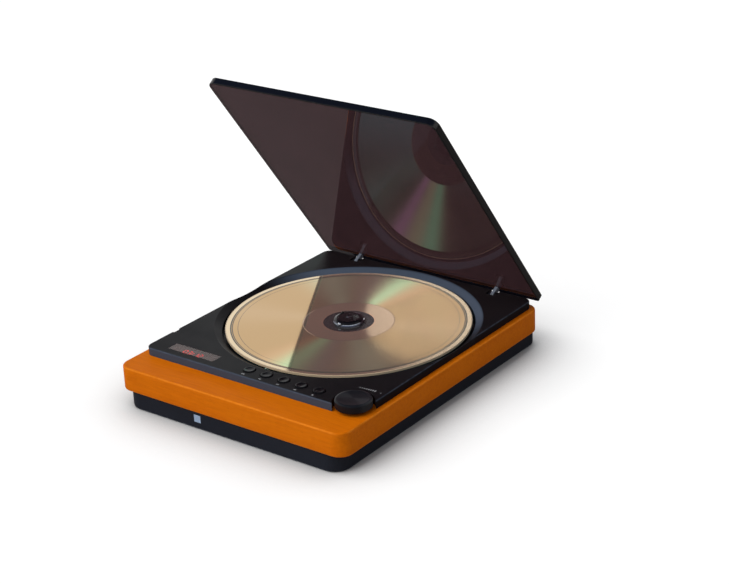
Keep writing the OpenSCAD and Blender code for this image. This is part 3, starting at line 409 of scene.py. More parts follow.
def disc_material(colours, sizes):
    """Champagne mirror with its clear hub and its bands, painted rainbow streaks over its tracks, a faint
    painted glow and a painted reflection that shows only in mirrors.
    """
    made, tree, shader, at = new_material("Champagne disc")
    middle = Vector((DISC_MIDDLE.x, DISC_MIDDLE.y, 0))
    offset = minus(tree, at, middle)
    around = radius_of(tree, offset)
    share = math_node(tree, "DIVIDE", around, DISC_RADIUS)
    clear, data = sizes.disc_clear / DISC_RADIUS, sizes.disc_data / DISC_RADIUS
    tone = tuple(colours.disc)
    pale = (0.74, 0.58, 0.37, 1)
    dark = (0.060, 0.045, 0.036, 1)
    # Each band's start as a share of the radius, its colour, its metallic value and its roughness.
    bands = [(0.0, (0.030, 0.026, 0.028, 1), 0, 0.12), (clear, (0.70, 0.42, 0.26, 1), 1, 0.05),
             (clear + 0.010, (0.60, 0.41, 0.26, 1), 1, 0.05), (data, tone, 1, 0.060), (0.893, dark, 1, 0.06),
             (0.898, tone, 1, 0.055), (0.936, dark, 1, 0.05), (0.944, tone, 1, 0.05),
             (0.948, dark, 1, 0.05), (0.958, pale, 1, 0.08), (0.990, (0.50, 0.36, 0.22, 1), 0, 0.12)]
    ramps = []
    for pick in (lambda row: row[1], lambda row: (row[2],) * 3 + (1,), lambda row: (row[3],) * 3 + (1,)):
        ramp = node(tree, "ShaderNodeValToRGB", share)
        ramp.color_ramp.interpolation = "CONSTANT"
        stops = ramp.color_ramp.elements
        while len(stops) > 1:
            stops.remove(stops[-1])
        stops[0].position, stops[0].color = bands[0][0], pick(bands[0])
        for row in bands[1:]:
            stops.new(row[0]).color = pick(row)
        ramps.append(ramp.outputs[0])
    x, y, _ = node(tree, "ShaderNodeSeparateXYZ", offset).outputs
    angle = math_node(tree, "ARCTAN2", y, x)

    def ray(turn, sharp):
        """A painted streak of light through the centre, at a turn from +X."""
        swing = math_node(tree, "COSINE", math_node(tree, "SUBTRACT", angle, math.radians(turn)))
        return math_node(tree, "POWER", math_node(tree, "ABSOLUTE", swing), sharp)

    tracks = spread(tree, share, data, data + 0.004)
    tracks = math_node(tree, "MULTIPLY", tracks, math_node(tree, "LESS_THAN", share, 0.936))
    wander = spread(tree, noise(tree, offset, 30.0, 2.0), 0.3, 0.7, 0.75, 1.0)
    base = ramps[0]
    # Painted glow: a faint greyish haze over the disc outside the clear hub, with the streaks' tints, given
    # out as emission.
    painted_sheen = mix(tree, math_node(tree, "GREATER_THAN", share, clear), (0, 0, 0, 1), (0.25, 0.28, 0.25, 1))
    # Painted streaks of light, in the base colour and in the painted glow.
    for turn, sharp, amount, tint in PAINTED_DISC_STREAKS:
        amount = math_node(tree, "MULTIPLY", math_node(tree, "MULTIPLY", ray(turn, sharp), amount), wander)
        amount = math_node(tree, "MULTIPLY", amount, tracks)
        base = mix(tree, amount, base, tint)
        painted_sheen = mix(tree, amount, painted_sheen, tint)
    # Seen directly, the painted glow is a fifth as strong.
    faint = mix(tree, 1.0, painted_sheen, (0.20, 0.20, 0.20, 1), "MULTIPLY")
    # Painted reflection, seen only in glossy rays: bluish towards the front of the disc, dark towards the
    # back, with bright streaks over the tracks.
    backward = spread(tree, y, -20 * MM, 32 * MM, smooth=True)
    painted_reflection = mix(tree, backward, (0.10, 0.30, 0.36, 1), (0.02, 0.03, 0.03, 1))
    for turn, sharp, amount, tint in PAINTED_REFLECTION_STREAKS:
        amount = math_node(tree, "MULTIPLY", ray(turn, sharp), amount)
        painted_reflection = mix(tree, math_node(tree, "MULTIPLY", amount, wander), painted_reflection, tint)
    painted_reflection = mix(tree, tracks, (0, 0, 0, 1), painted_reflection)
    path = node(tree, "ShaderNodeLightPath").outputs
    mirrored = math_node(tree, "SUBTRACT", path["Is Glossy Ray"], path["Is Transmission Ray"], clamp=True)
    feed(tree, shader.inputs["Emission Color"], mix(tree, mirrored, faint, painted_reflection))
    feed(tree, shader.inputs["Base Color"], base)
    feed(tree, shader.inputs["Metallic"], ramps[1])
    feed(tree, shader.inputs["Roughness"], ramps[2])
    rings = group(tree, "Turned rings", Position=at, Centre=middle, Rings=2600.0)["Height"]
    bump(tree, shader, math_node(tree, "MULTIPLY", rings, tracks), 0.02, 0.01 * MM)
    # The emission strength sets both the painted glow and the painted reflection.
    settle(shader, Specular_IOR_Level=0.5, Emission_Strength=0.8)
    return made


def smoked_material(name, tint, rough, weight, ior):
    """See-through tinted plastic with the faint waves of a cast sheet."""
    made, tree, shader, at = new_material(name)
    cloud = group(tree, "Mottle", Position=at, Coarse=14.0, Fine=60.0)["Value"]
    darker = tuple(0.82 * v for v in tint[:3]) + (1,)
    feed(tree, shader.inputs["Base Color"], mix(tree, spread(tree, cloud, 0.35, 0.65), darker, tuple(tint)))
    feed(tree, shader.inputs["Roughness"], spread(tree, cloud, 0.35, 0.65, rough, rough + 0.012))
    settle(shader, Transmission_Weight=weight, IOR=ior)
    return made


def glow_material(name, tint, strength):
    made, tree, shader, at = new_material(name)
    cloud = group(tree, "Mottle", Position=at, Coarse=300.0, Fine=4000.0)["Value"]
    darker = tuple(0.6 * v for v in tint[:3]) + (1,)
    shade = mix(tree, spread(tree, cloud, 0.3, 0.7), darker, tuple(tint))
    feed(tree, shader.inputs["Base Color"], shade)
    feed(tree, shader.inputs["Emission Color"], shade)
    settle(shader, Emission_Strength=strength, Roughness=0.4)
    return made


def board_material():
    """Green circuit board with its darker tracks."""
    made, tree, shader, at = new_material("Circuit board")
    cells = node(tree, "ShaderNodeTexVoronoi", Vector=at, Scale=260.0, distance="MANHATTAN")
    cells.feature = "DISTANCE_TO_EDGE"
    tracks = spread(tree, cells.outputs[0], 0.02, 0.05)
    cloud = group(tree, "Mottle", Position=at, Coarse=60.0, Fine=2000.0)["Value"]
    base = mix(tree, tracks, (0.020, 0.120, 0.045, 1), (0.008, 0.062, 0.024, 1))
    faint = math_node(tree, "MULTIPLY", cloud, 0.3)
    feed(tree, shader.inputs["Base Color"], mix(tree, faint, base, (0, 0.02, 0.01, 1)))
    feed(tree, shader.inputs["Roughness"], spread(tree, cloud, 0.3, 0.7, 0.3, 0.45))
    bump(tree, shader, tracks, 0.4, 0.03 * MM)
    return made


def dress(material, *names):
    """Gives CAD nodes a material through their object's slots."""
    for name in names:
        for slot in NODES[name].material_slots:
            slot.material = material


# ---------------------------------------------------------------- mesh helpers


def finish_piece(name, bm, material, body, sharp=32, replaces=()):
    """Turns a bmesh into a piece that rides on its body."""
    bmesh.ops.remove_doubles(bm, verts=bm.verts, dist=1e-7)
    bmesh.ops.recalc_face_normals(bm, faces=bm.faces)
    mesh = bpy.data.meshes.new(name)
    bm.to_mesh(mesh)
    bm.free()
    for face in mesh.polygons:
        face.use_smooth = True
    mesh.set_sharp_from_angle(angle=math.radians(sharp))
    mesh.materials.append(material)
    piece = bpy.data.objects.new(name, mesh)
    bpy.context.scene.collection.objects.link(piece)
    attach(piece, body)
    if replaces:
        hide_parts(*replaces)
    return piece


def spin_profile(bm, points, centre, steps, closed=False):
    """Spins points, given as radius and height, round a vertical axis through the centre."""
    verts = [bm.verts.new((centre.x + r, centre.y, z)) for r, z in points]
    pairs = list(zip(verts, verts[1:])) + ([(verts[-1], verts[0])] if closed else [])
    edges = [bm.edges.new(pair) for pair in pairs]
    bmesh.ops.spin(bm, geom=verts + edges, cent=(centre.x, centre.y, 0), axis=(0, 0, 1), angle=2 * math.pi,
                   steps=steps, use_merge=True, use_duplicate=False)


def add_slab(bm, low, high, bevel=0.0):
    """A box between two corners, with its edges rounded."""
    low, high = Vector(low), Vector(high)
    size = high - low
    matrix = Matrix.Translation((low + high) / 2) @ Matrix.Diagonal((*size, 1))
    made = bmesh.ops.create_cube(bm, size=1, matrix=matrix)["verts"]
    if bevel:
        edges = list({edge for vert in made for edge in vert.link_edges})
        bmesh.ops.bevel(bm, geom=edges, offset=bevel, offset_type="OFFSET", segments=2, profile=0.5,
                        affect="EDGES", material=-1)


def add_prism(bm, sides, radius, centre, z0, z1, turn=0.0, stretch=(1, 1)):
    """A flat prism with a regular outline."""
    matrix = (Matrix.Translation((centre[0], centre[1], z0)) @ Matrix.Diagonal((*stretch, 1, 1))
              @ Matrix.Rotation(math.radians(turn), 4, "Z"))
    verts = bmesh.ops.create_circle(bm, cap_ends=True, segments=sides, radius=radius, matrix=matrix)["verts"]
    face = next(f for f in verts[0].link_faces if len(f.verts) == sides)
    moved = bmesh.ops.extrude_face_region(bm, geom=[face], use_keep_orig=True)["geom"]
    raised = [item for item in moved if isinstance(item, bmesh.types.BMVert)]
    bmesh.ops.translate(bm, vec=(0, 0, z1 - z0), verts=raised)


# ---------------------------------------------------------------- pieces


class PieceOperator(bpy.types.Operator):
    bl_options = {"REGISTER", "UNDO"}

    @property
    def sizes(self):
        return bpy.context.scene.player_sizes

    @property
    def colours(self):
        return bpy.context.scene.player_colours

    def execute(self, context):
        self.make()
        return {"FINISHED"}


class PLAYER_OT_wood(PieceOperator):
    """Lacquers the wood frame"""

    bl_idname = "player.wood"
    bl_label = "Wood frame"

    def make(self):
        dress(wood_material(self.colours), "wood_frame")


class PLAYER_OT_case(PieceOperator):
    """Finishes the deck, the plinth, the feet and the other plastic pieces"""

    bl_idname = "player.case"
    bl_label = "Case"

    def make(self):
        deck = plastic_material("Deck plastic", self.colours.deck, 0.36, 4200.0, 0.045,
                                (DECK_LOW, DECK_HIGH), 0.45, sides=deck_painted_sheen)
        plinth = plastic_material("Plinth plastic", self.colours.plinth, 0.46, 3600.0, 0.12,
                                  (PLINTH_LOW, PLINTH_HIGH), 0.3)
        dress(deck, "deck")
        dress(plinth, "plinth")
        dress(plastic_material("Dark moulding", (0.012, 0.012, 0.013, 1), 0.42, 5200.0, 0.45),
              "power_switch", "audio_jack", "turntable", "pickup_sled", "key_switches", "board_parts",
              "ir_receiver")
        dress(plastic_material("Black rubber", (0.010, 0.010, 0.010, 1), 0.78, 2600.0, 0.25, strength=0.6),
              "feet", "dampers", "turntable_pad")
        dress(plastic_material("Pale moulding", (0.62, 0.60, 0.55, 1), 0.40, 5200.0, 0.5),
              "power_slider", "sled_pinion")
        dress(plastic_material("Receiver window", (0.360, 0.470, 0.640, 1), 0.22, 6500.0, 0.5), "ir_window")


class PLAYER_OT_hardware(PieceOperator):
    """Finishes the screws, the hinges, the sockets and the drive"""

    bl_idname = "player.hardware"
    bl_label = "Hardware"

    def make(self):
        steel = metal_material("Brushed steel", self.colours.steel, 0.34)
        dress(steel, "case_screws", "board_screws", "drive_screws", "drive_frame", "volume_pot",
              "volume_shaft", "sled_motor", "power_inlet")
        dress(metal_material("Polished steel", (0.74, 0.76, 0.80, 1), 0.14), "guide_rods", "clamp_balls")
        # Painted shade: the hinge brackets and pins are made dark so that the deck's hinge slots look dark.
        dress(metal_material("Dark steel, painted shade", (0.045, 0.045, 0.052, 1), 0.42),
              "hinge_brackets", "hinge_pins")
        dress(plastic_material("Frosted lug", (0.235, 0.270, 0.330, 1), 0.30, 3000.0, 0.5), "lid_lugs")
        dress(metal_material("Motor can", self.colours.steel, 0.28, DISC_MIDDLE), "spindle_motor")
        dress(board_material(), "main_board", "key_board")
        dress(smoked_material("Lens glass", (0.35, 0.45, 0.80, 1), 0.02, 0.8, 1.5), "pickup_lens")
        low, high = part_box("audio_jack")
        centre = Vector(((low.x + high.x) / 2, high.y, (low.z + high.z) / 2))
        bm = bmesh.new()
        collar = ((1.82, -0.6), (1.82, 0.06), (1.94, 0.15), (1.98, 0.15), (2.06, 0.05), (2.06, -0.6))
        spin_profile(bm, [(r * MM, z * MM) for r, z in collar], Vector((0, 0, 0)), 48, closed=True)
        bmesh.ops.rotate(bm, verts=bm.verts, cent=(0, 0, 0), matrix=Matrix.Rotation(-math.pi / 2, 3, "X"))
        bmesh.ops.translate(bm, verts=bm.verts, vec=centre)
        finish_piece("jack_collar", bm, steel, "case")


class PLAYER_OT_lid(PieceOperator):
    """Tints the lid, with its dark polished rim"""

    bl_idname = "player.lid"
    bl_label = "Lid"

    def make(self):
        made = smoked_material("Smoked acrylic", self.colours.lid, 0.004, 1.0, 1.42)
        tree, shader = made.node_tree, made.node_tree.nodes["Principled BSDF"]
        at = next(n for n in tree.nodes if n.bl_idname == "ShaderNodeTexCoord").outputs["Object"]
        shut = node(tree, "ShaderNodeVectorRotate", rotation_type="X_AXIS", Vector=at, Center=HINGE,
                    Angle=LID_OPEN).outputs[0]
        offset = minus(tree, shut, (LID_LOW + LID_HIGH) / 2)
        size = node(tree, "ShaderNodeVectorMath", offset, operation="ABSOLUTE").outputs[0]
        inside = minus(tree, (LID_HIGH - LID_LOW) / 2, size)
        x, y, _ = node(tree, "ShaderNodeSeparateXYZ", inside).outputs
        rim = spread(tree, math_node(tree, "MINIMUM", x, y), 0.15 * MM, 0.7 * MM, 1.0, 0.0, smooth=True)
        back = LID_HIGH.y - 2.6 * MM
        along = node(tree, "ShaderNodeSeparateXYZ", shut).outputs[1]
        behind = spread(tree, along, back - 1.0 * MM, back, smooth=True)
        rim = math_node(tree, "MAXIMUM", rim, behind)
        clear = shader.inputs["Base Color"].links[0].from_socket
        feed(tree, shader.inputs["Base Color"], mix(tree, rim, clear, (0.0012, 0.0016, 0.0030, 1)))
        dress(made, "lid_plate")


class PLAYER_OT_disc(PieceOperator):
    """Makes the disc with its stacking ring, its fine steps and its rounded edges"""

    bl_idname = "player.disc"
    bl_label = "Disc"

    def make(self):
        low, high, soft = DISC_LOW.z, DISC_HIGH.z, 0.12 * MM
        stack = low - 0.12 * MM
        hole, rim = self.sizes.disc_hole, DISC_RADIUS
        points = [(hole + soft, low), (16.4 * MM, low), (16.6 * MM, stack),
                  (17.4 * MM, stack), (17.6 * MM, low), (rim - soft, low),
                  (rim - soft * 0.3, low + soft * 0.3), (rim, low + soft), (rim, high - soft),
                  (rim - soft * 0.3, high - soft * 0.3), (rim - soft, high),
                  (57.55 * MM, high), (57.5 * MM, high - 0.03 * MM),
                  (57.35 * MM, high - 0.03 * MM), (57.3 * MM, high),
                  (self.sizes.disc_data + 0.12 * MM, high), (self.sizes.disc_data, high - 0.03 * MM),
                  (self.sizes.disc_data - 0.12 * MM, high), (self.sizes.disc_clear + 0.06 * MM, high),
                  (self.sizes.disc_clear, high - 0.05 * MM), (hole + soft, high - 0.05 * MM),
                  (hole, high - soft - 0.05 * MM), (hole, low + soft)]
        bm = bmesh.new()
        spin_profile(bm, points, DISC_MIDDLE, 256, closed=True)
        finish_piece("disc_pressed", bm, disc_material(self.colours, self.sizes), "spindle",
                     sharp=8, replaces=("disc",))


class PLAYER_OT_hub(PieceOperator):
    """Makes the hub with its bright skirt, its black stepped cap and its centre pip"""

    bl_idname = "player.hub"
    bl_label = "Hub"

    def make(self):
        centre = DISC_MIDDLE
        skirt, top, peak = (RING_HIGH.x - RING_LOW.x) / 2, RING_HIGH.z, CAP_HIGH.z
        chrome = metal_material("Hub chrome", (0.46, 0.49, 0.56, 1), 0.20, centre)
        bm = bmesh.new()
        spin_profile(bm, [(0, RING_LOW.z), (skirt - 0.2 * MM, RING_LOW.z), (skirt, RING_LOW.z + 0.2 * MM),
                          (skirt, top - 0.75 * MM), (skirt - 0.12 * MM, top - 0.62 * MM),
                          (skirt - 0.55 * MM, top - 0.55 * MM), (skirt - 0.62 * MM, top - 0.3 * MM),
                          (skirt - 0.5 * MM, top - 0.1 * MM), (skirt - 0.75 * MM, top), (0, top)],
                     centre, 96)
        finish_piece("hub_skirt", bm, chrome, "spindle", replaces=("hub_ring",))
        wide = (CAP_HIGH.x - CAP_LOW.x) / 2
        gloss = plastic_material("Hub gloss", (0.0045, 0.0045, 0.0065, 1), 0.16, 2500.0, 0.28, strength=0.02)
        bm = bmesh.new()
        spin_profile(bm, [(0, top), (wide - 0.3 * MM, top), (wide, top + 0.18 * MM), (wide, top + 0.45 * MM),
                          (wide - 0.2 * MM, top + 0.75 * MM), (wide - 0.9 * MM, peak - 0.28 * MM),
                          (wide - 1.5 * MM, peak - 0.12 * MM), (wide - 1.9 * MM, peak - 0.26 * MM),
                          (wide - 2.2 * MM, peak - 0.24 * MM), (2.2 * MM, peak - 0.1 * MM),
                          (1.5 * MM, peak - 0.12 * MM), (1.3 * MM, peak - 0.4 * MM), (0, peak - 0.4 * MM)],
                     centre, 96)
        finish_piece("hub_dome", bm, gloss, "spindle", replaces=("hub_cap",))
        bm = bmesh.new()
        spin_profile(bm, [(0, peak - 0.42 * MM), (0.85 * MM, peak - 0.42 * MM), (0.85 * MM, peak - 0.2 * MM),
                          (0.6 * MM, peak - 0.08 * MM), (0, peak - 0.02 * MM)], centre, 32)
        finish_piece("hub_pip", bm, chrome, "spindle")


class PLAYER_OT_knob(PieceOperator):
    """Makes the knurled volume knob with its spun top and a painted highlight across it"""

    bl_idname = "player.knob"
    bl_label = "Volume knob"

    def make(self):
        wide, low, high = (KNOB_HIGH.x - KNOB_LOW.x) / 2, KNOB_LOW.z, KNOB_HIGH.z
        profile = [(0, low), (wide - 0.8 * MM, low), (wide - 0.35 * MM, low + 0.15 * MM),
                   (wide, low + 0.55 * MM), (wide, high - 0.95 * MM), (wide - 0.12 * MM, high - 0.6 * MM),
                   (wide - 0.45 * MM, high - 0.22 * MM), (wide - 0.95 * MM, high - 0.04 * MM),
                   (wide - 1.3 * MM, high), (wide - 1.5 * MM, high - 0.06 * MM), (0, high - 0.10 * MM)]
        bm = bmesh.new()
        spin_profile(bm, profile, KNOB_MIDDLE, 2 * self.sizes.knurls)
        bmesh.ops.remove_doubles(bm, verts=bm.verts, dist=1e-7)
        step = math.pi / self.sizes.knurls
        for vert in bm.verts:
            offset = vert.co - KNOB_MIDDLE
            turn = round(math.atan2(offset.y, offset.x) / step)
            if math.hypot(offset.x, offset.y) > wide - 0.01 * MM and turn % 2:
                vert.co.x -= self.sizes.knurl_depth * math.cos(turn * step)
                vert.co.y -= self.sizes.knurl_depth * math.sin(turn * step)
        made, tree, shader, at = new_material("Spun black metal")
        axis = (KNOB_MIDDLE.x, KNOB_MIDDLE.y, 0)
        rings = group(tree, "Turned rings", Position=at, Centre=axis, Rings=4600.0)
        offset = minus(tree, at, axis)
        x, y, _ = node(tree, "ShaderNodeSeparateXYZ", offset).outputs
        # Painted highlight: two lighter wedges across the spun top.
        swing = math_node(tree, "COSINE", math_node(tree, "MULTIPLY", math_node(tree, "ARCTAN2", y, x), 2.0))
        painted_sheen = spread(tree, swing, 0.2, 1.0, 0.0, 0.55, smooth=True)
        shade = mix(tree, rings["Mask"], (0.0055, 0.0062, 0.0085, 1), (0.0100, 0.0110, 0.0140, 1))
        feed(tree, shader.inputs["Base Color"], mix(tree, painted_sheen, shade, (0.0330, 0.0350, 0.0385, 1)))
        feed(tree, shader.inputs["Roughness"], spread(tree, rings["Height"], 0.3, 0.7, 0.26, 0.42))
        settle(shader, Metallic=0.0, Specular_IOR_Level=0.14)
        bump(tree, shader, rings["Height"], 0.25, 0.02 * MM)
        finish_piece("volume_knob_turned", bm, made, "volume", sharp=24,
                     replaces=("volume_knob",))


class PLAYER_OT_buttons(PieceOperator):
    """Makes the five dished buttons and the pale marks in front of them"""

    bl_idname = "player.buttons"
    bl_label = "Buttons"

    def make(self):
        gloss = plastic_material("Button gloss", (0.0040, 0.0043, 0.0060, 1), 0.20, 3000.0, 0.08,
                                 strength=0.03)
        marks = bmesh.new()
        for index in range(5):
            name = f"button_{index + 1}"
            low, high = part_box(name)
            centre = (low + high) / 2
            stem, flange, cap, top = 1.6 * MM, 3.68 * MM, 2.9 * MM, high.z
            bm = bmesh.new()
            spin_profile(bm, [(0, low.z), (stem, low.z), (stem, low.z + 0.6 * MM),
                              (flange, low.z + 0.62 * MM), (flange, low.z + 1.18 * MM),
                              (cap, low.z + 1.2 * MM), (cap, top - 0.4 * MM),
                              (cap - 0.1 * MM, top - 0.16 * MM), (cap - 0.3 * MM, top - 0.04 * MM),
                              (cap - 0.5 * MM, top), (cap - 0.75 * MM, top - 0.03 * MM),
                              (cap - 1.4 * MM, top - 0.14 * MM), (cap - 2.1 * MM, top - 0.21 * MM),
                              (0, top - 0.24 * MM)], centre, 64)
            finish_piece(name + "_dished", bm, gloss, name + "_body", replaces=(name,))
            self.mark(marks, index, centre.x, centre.y - 4.9 * MM)
        ink = plastic_material("Pale print", self.colours.print_white, 0.55, 5000.0, 0.3)
        self.volume_mark(marks)
        finish_piece("control_marks", marks, ink, "case")

    def mark(self, bm, index, x, y):
        """Plain pictograms: a dot row, back, play, forward and stop."""
        z0, z1 = DECK_TOP, DECK_TOP + self.sizes.mark_height
        unit = 0.42 * MM
        if index == 0:
            for step in (-1.6, -0.5, 0.6, 1.7):
                add_slab(bm, (x + (step - 0.35) * unit, y - 0.9 * unit, z0),
                         (x + (step + 0.35) * unit, y + 0.9 * unit, z1))
        elif index == 4:
            add_slab(bm, (x - unit, y - unit, z0), (x + unit, y + unit, z1))
        else:
            turn = 180 if index == 1 else 0
            way = -1 if index == 1 else 1
            add_prism(bm, 3, 1.15 * unit, (x - way * 0.5 * unit, y), z0, z1, turn)
            if index == 2:
                for step in (1.1, 1.9):
                    add_slab(bm, (x + (step - 0.2) * unit, y - unit, z0),
                             (x + (step + 0.2) * unit, y + unit, z1))
            else:
                add_prism(bm, 3, 1.15 * unit, (x + way * 1.1 * unit, y), z0, z1, turn)

    def volume_mark(self, bm):
        """A row of bars that grows towards the right, behind the knob, and a dot at its end."""
        z0, z1 = DECK_TOP, DECK_TOP + self.sizes.mark_height
        y = KNOB_MIDDLE.y + 12.4 * MM
        for index in range(8):
            x = KNOB_MIDDLE.x + (-6.0 + 1.15 * index) * MM
            add_slab(bm, (x, y, z0), (x + 0.55 * MM, y + (0.35 + 0.13 * index) * MM, z1))
        add_prism(bm, 16, 0.3 * MM, (KNOB_MIDDLE.x + 5.6 * MM, y + 0.3 * MM), z0, z1)


class PLAYER_OT_display(PieceOperator):
    """Makes the red digits under the smoked window"""

    bl_idname = "player.display"
    bl_label = "Display"

    def make(self):
        dress(smoked_material("Smoked window", (0.290, 0.150, 0.135, 1), 0.10, 0.85, 1.36), "display_window")
        dress(plastic_material("Display face", (0.045, 0.018, 0.016, 1), 0.5, 3000.0, 0.3), "display_module")
        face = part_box("display_module")[1].z
        z0, z1 = face, face + 0.12 * MM
        tall = self.sizes.digit_height
        wide, bar = tall * 0.56, tall * 0.13
        bm = bmesh.new()
        shown = {"0": "abcdef", "1": "bc", "2": "abged", "3": "abgcd"}
        y = (WINDOW_LOW.y + WINDOW_HIGH.y) / 2
        for digit, x in (("0", -5.6), ("3", -3.1), ("1", 1.0), ("2", 3.5)):
            middle = (WINDOW_LOW.x + WINDOW_HIGH.x) / 2 + x * MM
            for segment in shown[digit]:
                flat = {"a": tall / 2, "g": 0, "d": -tall / 2}.get(segment)
                if flat is not None:
                    add_slab(bm, (middle - wide / 2 + bar, y + flat - bar / 2, z0),
                             (middle + wide / 2 - bar, y + flat + bar / 2, z1))
                else:
                    side = wide / 2 if segment in "bc" else -wide / 2
                    up = 1 if segment in "bf" else -1
                    ends = sorted((up * bar * 0.7, up * (tall / 2 - bar * 0.7)))
                    add_slab(bm, (middle + side - bar / 2, y + ends[0], z0),
                             (middle + side + bar / 2, y + ends[1], z1))
        for step in (-0.22, 0.22):
            x = (WINDOW_LOW.x + WINDOW_HIGH.x) / 2 - 1.05 * MM
            add_slab(bm, (x - bar / 2, y + step * tall - bar / 2, z0),
                     (x + bar / 2, y + step * tall + bar / 2, z1))
        glow = glow_material("Red digits", self.colours.display, 9.0)
        finish_piece("display_digits", bm, glow, "case")


# ---------------------------------------------------------------- stage


# Each sun's name, direction, strength, angle in degrees and colour.
SUNS = (
    ("key", (-0.42, -0.62, 0.82), 2.30, 62, (1.0, 0.985, 0.96)),
    ("fill", (0.10, -0.75, 0.60), 0.25, 70, (0.86, 0.92, 1.0)),
)
SOFTBOX_PLACE = (-0.8174, 1.2197, 0.6818)
SOFTBOX_FACING = (-0.5301, 0.7414, 0.4114)
SOFTBOX_SIZE = (0.17, 0.12)
CAMERA_PLACE = (504.23 * MM, -628.74 * MM, 390.96 * MM)
CAMERA_TURNS = (37.692, 23.412, -2.556)
CAMERA_LENS = 90.86
CONTACT_SHADOW_REACH = 45 * MM


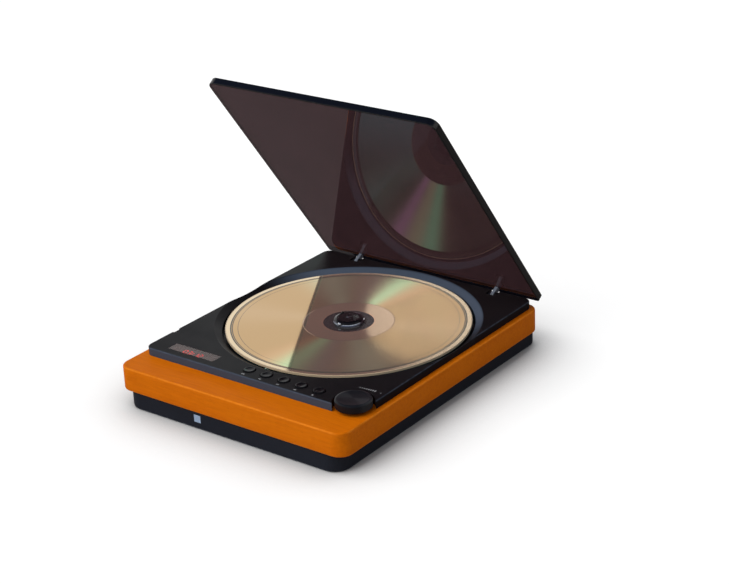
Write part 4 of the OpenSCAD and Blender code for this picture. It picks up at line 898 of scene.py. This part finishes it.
class PLAYER_OT_stage(PieceOperator):
    """Sets the pale floor, the studio light and the camera"""

    bl_idname = "player.stage"
    bl_label = "Stage"

    def make(self):
        scene = bpy.context.scene
        scene.view_settings.view_transform = "Standard"
        self.floor()
        self.world(scene)
        self.lamps()
        self.camera(scene)

    def floor(self):
        bm = bmesh.new()
        bmesh.ops.create_grid(bm, x_segments=1, y_segments=1, size=6)
        mesh = bpy.data.meshes.new("floor")
        bm.to_mesh(mesh)
        bm.free()
        made = bpy.data.materials.new("Pale floor")
        made.use_nodes = True
        tree = made.node_tree
        tree.nodes.clear()
        glossy = node(tree, "ShaderNodeLightPath").outputs["Is Glossy Ray"]
        seen = self.seen(tree)
        shade = mix(tree, seen, (0.60, 0.60, 0.60, 1), (0.48, 0.48, 0.48, 1))
        shade = mix(tree, glossy, shade, (0.20, 0.18, 0.18, 1))
        pale = node(tree, "ShaderNodeBsdfDiffuse", shade)
        # Painted shadow: the floor's glow fades near the object, by ambient occlusion.
        near = node(tree, "ShaderNodeAmbientOcclusion", Distance=CONTACT_SHADOW_REACH, samples=16).outputs["AO"]
        floor_glow_with_painted_shadow = spread(tree, near, 0.45, 0.97, 0.02, 0.62)
        level = math_node(tree, "MULTIPLY", seen, spread(tree, glossy, 0.0, 1.0, floor_glow_with_painted_shadow, 0.02))
        glow = node(tree, "ShaderNodeEmission", Color=(1, 1, 1, 1), Strength=level).outputs[0]
        both = node(tree, "ShaderNodeAddShader", pale.outputs[0], glow).outputs[0]
        node(tree, "ShaderNodeOutputMaterial", both)
        mesh.materials.append(made)
        floor = bpy.data.objects.new("floor", mesh)
        bpy.context.scene.collection.objects.link(floor)

    def seen(self, tree):
        """1 for rays from the camera and for reflected or transmitted ones."""
        path = node(tree, "ShaderNodeLightPath").outputs
        either = math_node(tree, "MAXIMUM", path["Is Camera Ray"], path["Is Glossy Ray"])
        return math_node(tree, "MAXIMUM", either, path["Is Transmission Ray"])

    def world(self, scene):
        scene.world = bpy.data.worlds.new("Studio")
        scene.world.use_nodes = True
        tree = scene.world.node_tree
        tree.nodes.clear()
        shade = mix(tree, self.seen(tree), (0.32, 0.325, 0.34, 1), (1, 1, 1, 1))
        towards = node(tree, "ShaderNodeTexCoord").outputs["Generated"]
        high = node(tree, "ShaderNodeSeparateXYZ", towards).outputs[2]
        ceiling = math_node(tree, "MULTIPLY", node(tree, "ShaderNodeLightPath").outputs["Is Glossy Ray"],
                            spread(tree, high, 0.50, 0.76, smooth=True))
        shade = mix(tree, ceiling, shade, (0.14, 0.18, 0.32, 1))
        node(tree, "ShaderNodeOutputWorld", node(tree, "ShaderNodeBackground", shade, 1.0).outputs[0])

    def lamps(self):
        for name, towards, strength, angle, tint in SUNS:
            light = bpy.data.lights.new(name, "SUN")
            light.energy, light.angle, light.color = strength, math.radians(angle), tint
            lamp = bpy.data.objects.new(name, light)
            lamp.rotation_euler = Vector(towards).to_track_quat("Z", "Y").to_euler()
            lamp.visible_transmission = lamp.visible_glossy = False
            bpy.context.scene.collection.objects.link(lamp)
        light = bpy.data.lights.new("softbox", "AREA")
        light.shape = "ELLIPSE"
        light.size, light.size_y = SOFTBOX_SIZE
        light.energy, light.color = 0.40, (0.50, 1.0, 0.86)
        lamp = bpy.data.objects.new("softbox", light)
        lamp.rotation_euler = Vector(SOFTBOX_FACING).to_track_quat("Z", "Y").to_euler()
        lamp.location = SOFTBOX_PLACE
        bpy.context.scene.collection.objects.link(lamp)

    def camera(self, scene):
        turn, tilt, roll = (math.radians(v) for v in CAMERA_TURNS)
        back = Vector((math.sin(turn) * math.cos(tilt), -math.cos(turn) * math.cos(tilt), math.sin(tilt)))
        right = Vector((math.cos(turn), math.sin(turn), 0))
        up = back.cross(right)
        across = right * math.cos(roll) + up * math.sin(roll)
        upward = up * math.cos(roll) - right * math.sin(roll)
        data = bpy.data.cameras.new("camera")
        data.sensor_width, data.lens = 36, CAMERA_LENS
        data.clip_start, data.clip_end = 0.01, 50
        camera = bpy.data.objects.new("camera", data)
        rows = Matrix((across, upward, back)).transposed().to_4x4()
        camera.matrix_world = Matrix.Translation(CAMERA_PLACE) @ rows
        scene.collection.objects.link(camera)
        scene.camera = camera


# ---------------------------------------------------------------- add-on


PIECES = (PLAYER_OT_wood, PLAYER_OT_case, PLAYER_OT_hardware, PLAYER_OT_lid, PLAYER_OT_disc, PLAYER_OT_hub,
          PLAYER_OT_knob, PLAYER_OT_buttons, PLAYER_OT_display, PLAYER_OT_stage)


class PLAYER_PT_panel(bpy.types.Panel):
    """Lists the player's pieces, sizes and colours"""

    bl_idname = "PLAYER_PT_panel"
    bl_label = "Disc Player"
    bl_space_type = "VIEW_3D"
    bl_region_type = "UI"
    bl_category = "Disc Player"

    def draw(self, context):
        for kind in PIECES:
            self.layout.operator(kind.bl_idname)
        for group_name in ("player_sizes", "player_colours"):
            settings = getattr(context.scene, group_name)
            box = self.layout.box()
            for key in settings.__annotations__:
                box.prop(settings, key)


CLASSES = (PlayerSizes, PlayerColours, *PIECES, PLAYER_PT_panel)


def register():
    for kind in CLASSES:
        bpy.utils.register_class(kind)
    bpy.types.Scene.player_sizes = PointerProperty(type=PlayerSizes)
    bpy.types.Scene.player_colours = PointerProperty(type=PlayerColours)


def unregister():
    del bpy.types.Scene.player_colours
    del bpy.types.Scene.player_sizes
    for kind in reversed(CLASSES):
        bpy.utils.unregister_class(kind)


def main():
    register()
    for kind in PIECES:
        getattr(bpy.ops.player, kind.bl_idname.split(".")[1])()


if __name__ == "__main__":
    main()
